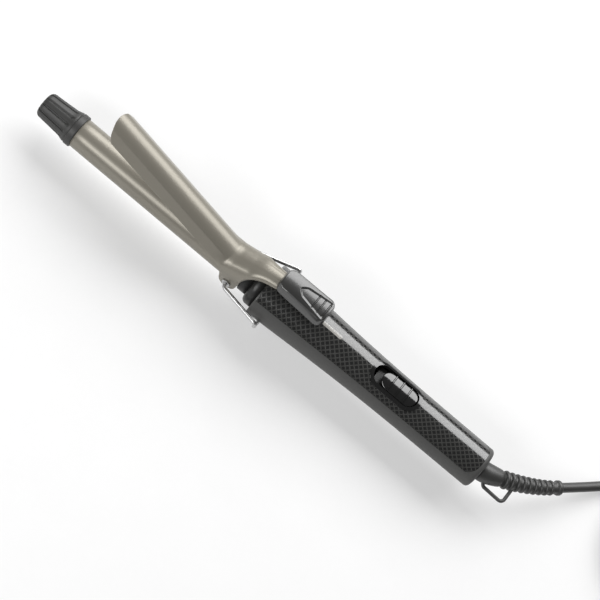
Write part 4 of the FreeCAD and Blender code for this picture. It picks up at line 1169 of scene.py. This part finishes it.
# ---- stand --------------------------------------------------------------------------------------
@dataclass
class StandWire:
    """The bent wire stand: ends hooked into the rivets, two splayed legs and a bow under the handle.

    Attributes:
        radius: the wire's radius.
        hook: half the distance between the wire's ends, inside the rivets.
        elbow: half the distance between the bends where the legs leave the rivets.
        corner: a leg's end, from the tip, the iron's middle and the axis.
        side: the bow's start below it, likewise.
        depth: the bow's lowest point below the axis.
        bend: how far each bend reaches along its runs.
        bend_share: the most of a run that a bend may take.
        bend_steps: divisions of a bend.
        bow_steps: divisions of half the bow.
        around: points round the wire.
    """

    radius: float = 1.2 * MM
    hook: float = 9.9 * MM
    elbow: float = 15.0 * MM
    corner: Point = (175.0 * MM, 22.3 * MM, 2.6 * MM)
    side: Point = (175.0 * MM, 21.9 * MM, 0.0)
    depth: float = 18.9 * MM
    bend: float = 2.4 * MM
    bend_share: float = 0.9
    bend_steps: int = 8
    bow_steps: int = 24
    around: int = 20

    def half_path(self) -> list[Vector]:
        """Give the far half of the wire from its end to the bow's lowest point.

        Returns:
            Points along the wire.
        """
        hinge = pivot()
        start = Vector((hinge.x, self.hook, hinge.z))
        elbow = Vector((hinge.x, self.elbow, hinge.z))
        corner, side = (Vector((TIP_X + x, y, AXIS_Z + z)) for x, y, z in (self.corner, self.side))
        reach = self.side[1]
        drop = self.depth + self.side[2]
        bow = (reach ** 2 + drop ** 2) / (2.0 * drop)
        centre_z = AXIS_Z - self.depth + bow
        sweep = math.asin(reach / bow)
        path = [start] + self.bent(start, elbow, corner) + self.bent(elbow, corner, side)
        for step in range(self.bow_steps + 1):
            angle = sweep * (1.0 - step / self.bow_steps)
            path.append(Vector((side.x, bow * math.sin(angle), centre_z - bow * math.cos(angle))))
        return path

    def bent(self, before: Vector, corner: Vector, after: Vector) -> list[Vector]:
        """Round one corner of the wire.

        Args:
            before: the corner before it.
            corner: the corner.
            after: the corner after it.

        Returns:
            Points along the bend.
        """
        back, ahead = ((end - corner).normalized() * min(self.bend, (end - corner).length * self.bend_share)
                       for end in (before, after))
        points = []
        for step in range(self.bend_steps + 1):
            share = step / self.bend_steps
            points.append(corner + back * (1.0 - share) ** 2 + ahead * share ** 2)
        return points

    def build(self) -> bpy.types.Object:
        """Make the wire, its section carried along the path without twist.

        Returns:
            The finished piece.
        """
        far = self.half_path()
        path = far + [Vector((point.x, -point.y, point.z)) for point in far[-2::-1]]
        across = -UP
        rings = []
        for index, point in enumerate(path):
            heading = (path[min(index + 1, len(path) - 1)] - path[max(index - 1, 0)]).normalized()
            across = (across - heading * across.dot(heading)).normalized()
            rings.append(circle(point, across, heading.cross(across), self.radius, self.around))
        return shell_piece("stand_rod", rings, Body.STAND, Look.CHROME, "stand_wire")


# ---- clamp --------------------------------------------------------------------------------------
@dataclass(frozen=True)
class Station:
    """One row of points across the saddle or the arm, in millimetres from the tip and the axis.

    Attributes:
        edge_x: the lower edge's place along the iron.
        edge_z: the lower edge's height.
        top_x: the crown's place along the iron.
        half_width: half the row's width.
        side_z: where the upright side ends and the shoulder starts.
        top_z: the crown's height.
        rib: the raised rib's height.
    """

    edge_x: float
    edge_z: float
    top_x: float
    half_width: float
    side_z: float
    top_z: float
    rib: float


@dataclass
class ClampShell:
    """The pressed clamp: a creased trough, a saddle with two ears, and an arm with a raised rib.

    Sizes are in millimetres. The trough is drawn for the closed clamp and swung open, and the saddle
    and the arm are drawn where they rest.

    Attributes:
        tip: the trough's tip along the iron.
        neck: where the trough ends.
        radius: the trough's outer radius.
        crease: angle of the crease from the top.
        flank_slope: the flat flanks' slope below level.
        flank: a flank's width.
        nose: how far the tip's corners are set back.
        opening: the clamp's angle at rest.
        wall: sheet thickness.
        shoulder: the arch's angle that goes with a side, the crown having the rest of the quarter turn.
        rib_edge: the raised rib's half width at its top and at its foot.
        flare: shares of the way to the saddle's width for the trough's last rows, the last row first.
        nose_shares: row places behind the trough's tip, as shares of its length.
        body_rows: how many rows lie between, the first one's share and the share that they span.
        neck_shares: row places before the neck.
        flank_steps: points across a flank, from its edge at 1 to the crease at 0.
        crown_steps: points from the crease at 0 to the top at 1.
        saddle: rows from the neck over the ears and up the arm.
    """

    tip: float = 32.9
    neck: float = 134.9
    radius: float = 11.2
    crease: float = math.radians(38.0)
    flank_slope: float = math.radians(57.0)
    flank: float = 7.0
    nose: float = 8.6
    opening: float = math.radians(20.0)
    wall: float = 0.72
    shoulder: float = math.radians(52.0)
    rib_edge: tuple[float, float] = (1.6, 3.4)
    flare: tuple[float, ...] = (0.75, 0.5, 0.28, 0.12)
    nose_shares: tuple[float, ...] = (0.0, 0.004, 0.015, 0.04)
    body_rows: tuple[int, float, float] = (15, 0.08, 0.86)
    neck_shares: tuple[float, ...] = (0.955, 0.97, 0.985, 1.0)
    flank_steps: tuple[float, ...] = (1.0, 0.96, 0.75, 0.5, 0.25, 0.06)
    crown_steps: tuple[float, ...] = (0.0, 0.04, 0.12, 0.22, 0.32, 0.42, 0.52, 0.60, 0.67, 0.74, 0.82,
                                      0.91, 1.0)
    saddle: tuple[Station, ...] = (
        Station(138.7, 4.6, 141.3, 11.4, 5.2, 14.8, 0.05),
        Station(140.2, 1.0, 142.4, 11.5, 5.0, 15.1, 0.10),
        Station(140.75, -2.5, 143.4, 11.6, 5.0, 15.5, 0.12),
        Station(141.6, -5.6, 144.5, 11.65, 5.4, 16.0, 0.15),
        Station(143.7, -7.7, 145.8, 11.65, 6.0, 16.7, 0.17),
        Station(146.7, -8.5, 147.8, 11.65, 7.0, 17.6, 0.20),
        Station(149.7, -7.7, 150.0, 11.6, 8.0, 18.7, 0.20),
        Station(151.8, -5.6, 152.0, 11.5, 8.8, 19.6, 0.20),
        Station(152.6, -2.5, 153.4, 11.4, 9.5, 20.3, 0.20),
        Station(152.8, 3.0, 154.8, 11.1, 10.5, 21.1, 0.23),
        Station(153.3, 8.6, 156.4, 10.5, 12.6, 22.0, 0.23),
        Station(154.8, 12.9, 158.4, 9.7, 15.0, 23.0, 0.25),
        Station(157.4, 16.2, 160.8, 8.7, 17.4, 23.9, 0.25),
        Station(161.0, 18.6, 163.9, 7.5, 19.4, 24.7, 0.25),
        Station(165.6, 20.4, 167.2, 6.6, 21.0, 25.2, 0.25),
        Station(172.0, 21.8, 172.0, 6.1, 22.2, 25.7, 0.25),
    )

    def place(self, x: float, y: float, z: float) -> Vector:
        """Turn millimetres from the tip and the axis into the frame."""
        return Vector((TIP_X + x * MM, y * MM, AXIS_Z + z * MM))

    def opened(self, point: Vector) -> Vector:
        """Swing a point of the closed clamp to its rest angle."""
        centre = pivot()
        return centre + Matrix.Rotation(self.opening, 3, "Y") @ (point - centre)

    def trough_half(self) -> list[tuple[float, float]]:
        """Give half the trough's section from its edge to the crown.

        Returns:
            Points (y, z).
        """
        crease = (self.radius * math.sin(self.crease), self.radius * math.cos(self.crease))
        along = (math.cos(self.flank_slope), -math.sin(self.flank_slope))
        half = [(crease[0] + along[0] * self.flank * share, crease[1] + along[1] * self.flank * share)
                for share in self.flank_steps]
        for share in self.crown_steps:
            angle = self.crease * (1.0 - share)
            half.append((self.radius * math.sin(angle), self.radius * math.cos(angle)))
        return half

    def both_sides(self, half: Sequence[tuple[float, ...]]) -> list[tuple[float, ...]]:
        """Mirror half a section into a whole one, near edge first."""
        near = [(-point[0], *point[1:]) for point in half]
        return near + [tuple(point) for point in half[-2::-1]]

    def trough_rows(self) -> list[Ring]:
        """Make the trough's rows from the rounded nose to the neck.

        Returns:
            The rows, at the clamp's rest angle.
        """
        section = self.both_sides(self.trough_half())
        reach = max(abs(y) for y, _ in section)
        curve = (reach ** 2 + self.nose ** 2) / (2.0 * self.nose)
        count, first, spanned = self.body_rows
        body = [first + spanned * step / (count - 1) for step in range(count)]
        rows = []
        for share in (*self.nose_shares, *body, *self.neck_shares):
            row = []
            for y, z in section:
                start = self.tip + curve - math.sqrt(curve ** 2 - y ** 2)
                row.append(self.opened(self.place(start + (self.neck - start) * share, y, z)))
            rows.append(row)
        return rows

    def saddle_row(self, station: Station) -> Ring:
        """Make one row across the saddle or the arm.

        Args:
            station: the row's sizes.

        Returns:
            The row's points.
        """
        side = station.side_z - station.edge_z
        shoulder = self.shoulder * (station.half_width + station.top_z - station.side_z) / 2.0
        rise = station.top_z - station.rib - station.side_z
        half = []
        for share in (*self.flank_steps, *[-step for step in self.crown_steps]):
            along = (1.0 - share) * (side + shoulder) if share > 0.0 else side + shoulder
            angle = max(0.0, along - side) / shoulder * self.shoulder
            angle += (math.pi / 2.0 - self.shoulder) * max(0.0, -share)
            y = station.half_width * max(math.cos(angle), 0.0)
            z = station.edge_z + min(along, side) + rise * math.sin(angle)
            z += station.rib * (1.0 - smooth(*self.rib_edge, y))
            half.append((y, z, station.edge_x + (station.top_x - station.edge_x) * math.sin(angle)))
        return [self.place(x, y, z) for y, z, x in self.both_sides(half)]

    def flared(self, rows: list[Ring], target: Ring) -> list[Ring]:
        """Widen the trough's last rows towards the saddle.

        Args:
            rows: the trough's rows.
            target: the saddle's first row.

        Returns:
            The rows, the last ones drawn out sideways.
        """
        for back, share in enumerate(self.flare):
            row = rows[-1 - back]
            for index, point in enumerate(row):
                row[index] = Vector((point.x, point.y + (target[index].y - point.y) * share, point.z))
        return rows

    def build(self) -> bpy.types.Object:
        """Make the clamp's sheet with its wall on the inside.

        Returns:
            The finished piece.
        """
        across = [self.saddle_row(station) for station in self.saddle]
        rows = self.flared(self.trough_rows(), across[0]) + across
        host = piece_from("clamp_host", skin("clamp_sheet", rows, closed=False), Look.BARREL)
        faces_out = sum(face.normal.z * face.area for face in host.data.polygons) > 0.0
        thick = host.modifiers.new("thickness", "SOLIDIFY")
        thick.thickness = self.wall * MM
        thick.offset = -1.0 if faces_out else 1.0
        fine = host.modifiers.new("smooth", "SUBSURF")
        fine.levels = fine.render_levels = 2
        return finish_piece(bake(host, "clamp_sheet", Look.BARREL), Body.CLAMP, Look.BARREL, "clamp_shell")


@dataclass
class ThumbRest:
    """The moulded thumb rest: flared skirt, crowned top, a dish that widens rearwards, three grooves.

    Sizes are in millimetres, with places from the tip and heights over the axis.

    Attributes:
        start: its front.
        length: along the iron.
        around: points in each ring.
        rings: rings from the rim to the middle of the top.
        corner: the corners' share of the half width.
        corner_steps: divisions of a corner.
        widening: how much wider the rear is than the middle, as a share.
        lean: how far the skirt falls for each millimetre rearwards.
        skirt: half width, end inset and height of each ring up the side.
        rim: half width, end inset and depth below the top of each ring round the rim.
        top_half: half width of the top's first ring, and its end inset.
        crown: the top's height at its datum.
        datum: the place where that height holds.
        slope: fall of the top for each millimetre rearwards.
        arch: fall of the top's sides and the half width over which they fall.
        front: fall of the top at the front and where it starts and ends.
        dish_start: the dish's front.
        dish_half: the dish's half width near its front.
        dish_round: length over which the front rounds out.
        dish_spread: growth of the half width for each millimetre rearwards.
        dish_wall: width of the dish's sloping wall.
        dish_depth: the dish's depth.
        dish_end: where the dish runs out at the rear.
        grooves: the cross grooves' places.
        groove_half: half width at which a groove starts to fade and is gone.
        groove_depth: a groove's depth.
        groove_width: a groove's width.
    """

    start: float = 170.1
    length: float = 33.8
    around: int = 240
    rings: int = 84
    corner: float = 0.5
    corner_steps: int = 12
    widening: float = 0.06
    lean: float = 0.03
    skirt: tuple[Point, ...] = ((7.6, 2.2, 25.1), (8.4, 0.6, 24.75), (8.8, 0.1, 25.0), (8.75, 0.0, 25.8),
                                (8.1, 0.2, 27.9), (7.65, 0.5, 29.3))
    rim: tuple[Point, ...] = ((7.45, 0.65, 0.55), (7.3, 0.8, 0.22), (7.0, 1.1, 0.04))
    top_half: tuple[float, float] = (6.7, 1.4)
    crown: float = 32.05
    datum: float = 180.0
    slope: float = 0.044
    arch: tuple[float, float] = (1.3, 7.0)
    front: Point = (1.0, 169.0, 178.0)
    dish_start: float = 181.8
    dish_half: float = 3.4
    dish_round: float = 3.6
    dish_spread: float = 0.17
    dish_wall: float = 1.7
    dish_depth: float = 0.6
    dish_end: tuple[float, float] = (200.9, 203.2)
    grooves: tuple[float, ...] = (193.2, 197.2, 201.0)
    groove_half: tuple[float, float] = (4.2, 5.4)
    groove_depth: float = 0.5
    groove_width: float = 0.40

    def outline(self, half_width: float, half_length: float) -> list[tuple[float, float]]:
        """Give evenly spaced points round a rounded oblong.

        Args:
            half_width: half the oblong's width.
            half_length: half its length.

        Returns:
            Points (x, y) about the oblong's middle.
        """
        corner = self.corner * min(half_width, half_length)
        dense = []
        for turn, (side_x, side_y) in enumerate(((1, 1), (-1, 1), (-1, -1), (1, -1))):
            for step in range(self.corner_steps + 1):
                angle = math.pi / 2.0 * (turn + step / self.corner_steps)
                dense.append((side_x * (half_length - corner) + corner * math.cos(angle),
                              side_y * (half_width - corner) + corner * math.sin(angle)))
        dense.append(dense[0])
        runs = [math.dist(first, last) for first, last in zip(dense, dense[1:])]
        spacing = sum(runs) / self.around
        points = []
        index = 0
        passed = 0.0
        for step in range(self.around):
            while passed + runs[index] < spacing * step:
                passed += runs[index]
                index += 1
            share = (spacing * step - passed) / max(runs[index], 1e-9)
            points.append(tuple(low + (high - low) * share
                                for low, high in zip(dense[index], dense[index + 1])))
        return points

    def top(self, x: float, y: float) -> float:
        """Give the top's height at a place.

        Args:
            x: the place along the iron.
            y: the place across it.

        Returns:
            The height over the axis.
        """
        arch, arch_half = self.arch
        front, front_start, front_end = self.front
        height = self.crown - self.slope * (x - self.datum) - arch * (y / arch_half) ** 2
        height -= front * (1.0 - smooth(front_start, front_end, x))
        into = x - self.dish_start
        half = self.dish_half * math.sqrt(min(1.0, max(0.0, into / self.dish_round)))
        half += self.dish_spread * max(0.0, into)
        inside = smooth(0.0, self.dish_wall, half - abs(y))
        height -= self.dish_depth * inside * (1.0 - smooth(*self.dish_end, x))
        across = 1.0 - smooth(*self.groove_half, abs(y))
        for place in self.grooves:
            height -= self.groove_depth * across * math.exp(-((x - place) / self.groove_width) ** 2)
        return height

    def level(self, half_width: float, half_length: float, z: float | None, drop: float = 0.0) -> Ring:
        """Make one closed ring.

        Args:
            half_width: half the ring's width.
            half_length: half its length.
            z: height over the axis, or None to follow the top.
            drop: distance below the top.

        Returns:
            The ring's points.
        """
        centre = self.start + self.length / 2.0
        ring = []
        for x, y in self.outline(half_width, half_length):
            y *= 1.0 + self.widening * x / (self.length / 2.0)
            height = self.top(centre + x, y) - drop if z is None else z - self.lean * x
            ring.append(Vector((TIP_X + (centre + x) * MM, y * MM, AXIS_Z + height * MM)))
        return ring

    def build(self) -> bpy.types.Object:
        """Make the thumb rest.

        Returns:
            The finished piece.
        """
        half = self.length / 2.0
        rings = [self.level(width, half - inset, z) for width, inset, z in self.skirt]
        rings += [self.level(width, half - inset, None, drop) for width, inset, drop in self.rim]
        width, inset = self.top_half
        for step in range(self.rings):
            share = 1.0 - step / self.rings
            rings.append(self.level(width * share, (half - inset) * share, None))
        return shell_piece("thumb_rest_cover", rings, Body.CLAMP, Look.THUMB, "thumb_rest")


# ---- switch -------------------------------------------------------------------------------------
@dataclass
class SwitchButton:
    """The sliding button: a crowned cap and round-topped grip bars.

    Attributes:
        sunk: the cap's height below the top of the CAD button, whose bars reach higher.
        rim: each rim ring's inset and its drop below the cap, in millimetres.
        top_rest: how far the top rings' way inwards falls short of the half width, in millimetres.
        top_rings: rings from the rim to the cap's middle line.
        bars: how many grip bars.
        pitch: distance between them.
        bar_radius: a bar's radius.
        bar_inset: a bar end's distance inside the cap's side.
        bar_points: points round a bar.
        steps: divisions of the cap's round ends and of a bar's length.
    """

    sunk: float = 0.9 * MM
    rim: tuple[tuple[float, float], ...] = ((0.0, 1.6), (0.0, 0.55), (0.18, 0.16), (0.6, 0.0))
    top_rest: float = 0.75
    top_rings: int = 8
    bars: int = 3
    pitch: float = 5.5 * MM
    bar_radius: float = 0.62 * MM
    bar_inset: float = 0.5 * MM
    bar_points: int = 16
    steps: int = 24

    def build(self) -> list[bpy.types.Object]:
        """Make the cap and its bars.

        Returns:
            The finished pieces.
        """
        low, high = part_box("switch_slider")
        half = (high[1] - low[1]) / 2.0
        crown = high[2] - AXIS_Z - self.sunk
        rings = [self.ring(low[0], high[0], half, inset * MM, crown - drop * MM) for inset, drop in self.rim]
        first = self.rim[-1][0]
        for step in range(1, self.top_rings + 1):
            inset = (first + (half / MM - self.top_rest) * step / self.top_rings) * MM
            rings.append(self.ring(low[0], high[0], half, inset, crown))
        cap = shell_piece("button_cap", rings, Body.BUTTON, Look.SWITCH, "switch_slider")
        return [cap, self.grips((low[0] + high[0]) / 2.0, half - self.bar_inset, crown)]

    def ring(self, start: float, end: float, half: float, inset: float, reach: float) -> Ring:
        """Make a round-ended ring wrapped on a cylinder about the barrel's axis.

        Args:
            start: front end along the iron.
            end: rear end.
            half: half the width.
            inset: distance inside the outline.
            reach: distance from the axis.

        Returns:
            The ring's points.
        """
        points = []
        bend = half - inset
        for turn in (1, -1):
            centre = end - half if turn > 0 else start + half
            for step in range(self.steps + 1):
                angle = math.pi * step / self.steps - math.pi / 2.0
                x = centre + turn * bend * math.cos(angle)
                y = turn * bend * math.sin(angle)
                points.append(Vector((x, y, AXIS_Z + math.sqrt(reach ** 2 - y ** 2))))
        return points

    def grip_growth(self) -> Growth:
        """Build the tree that repeats a bar along the button.

        Returns:
            The tree, ready to grow.
        """
        tree = Growth("grip_bars", {"Bars": "Int", "Pitch": "Float", "Bar Radius": "Float"})
        curve = tree.node("GeometryNodeMeshToCurve")
        bead = tree.node("GeometryNodeCurvePrimitiveCircle", Resolution=self.bar_points)
        bar = tree.node("GeometryNodeCurveToMesh", Fill_Caps=True)
        step = tree.node("ShaderNodeCombineXYZ")
        line = tree.node("GeometryNodeMeshLine")
        place = tree.node("GeometryNodeInstanceOnPoints")
        tree.link((tree.start, "Geometry", curve, "Mesh"), (tree.start, "Bar Radius", bead, "Radius"),
                  (curve, "Curve", bar, "Curve"), (bead, "Curve", bar, "Profile Curve"),
                  (tree.start, "Pitch", step, "X"), (tree.start, "Bars", line, "Count"),
                  (step, "Vector", line, "Offset"), (line, "Mesh", place, "Points"),
                  (bar, "Mesh", place, "Instance"))
        tree.close(place)
        return tree

    def grips(self, centre: float, half: float, reach: float) -> bpy.types.Object:
        """Set the grip bars on the cap.

        Args:
            centre: the cap's middle along the iron.
            half: half a bar's length.
            reach: the cap's distance from the axis.

        Returns:
            The bars as one piece.
        """
        first = centre - self.pitch * (self.bars - 1) / 2.0
        line = []
        for step in range(self.steps + 1):
            y = half * (2.0 * step / self.steps - 1.0)
            line.append(Vector((first, y, AXIS_Z + math.sqrt(reach ** 2 - y ** 2))))
        values = {"Bars": self.bars, "Pitch": self.pitch, "Bar Radius": self.bar_radius}
        return self.grip_growth().grow(line, values, Body.BUTTON, Look.SWITCH)


# ---- everything ---------------------------------------------------------------------------------
def dress_nodes() -> None:
    """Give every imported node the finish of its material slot."""
    slots = {item["node"]: item["material_slot"] for item in frame["record"]["subparts"]}
    for name, node in frame["nodes"].items():
        material = look_for(slots[name]).material()
        if not node.material_slots:
            node.data.materials.append(material)
        for slot in node.material_slots:
            slot.material = material


def main() -> None:
    """Build the iron's looks in order."""
    logging.basicConfig(level=logging.INFO)
    dress_nodes()
    Stage().build()
    boot_pieces = Boot().build()
    nodes = frame["nodes"]
    MainsCord().build(boot_pieces + [nodes["plug_body"], nodes["plug_pins"], nodes["coil_tie"]])
    Barrel().build()
    StandWire().build()
    ClampShell().build()
    ThumbRest().build()
    SwitchButton().build()


if __name__ == "__main__":
    main()
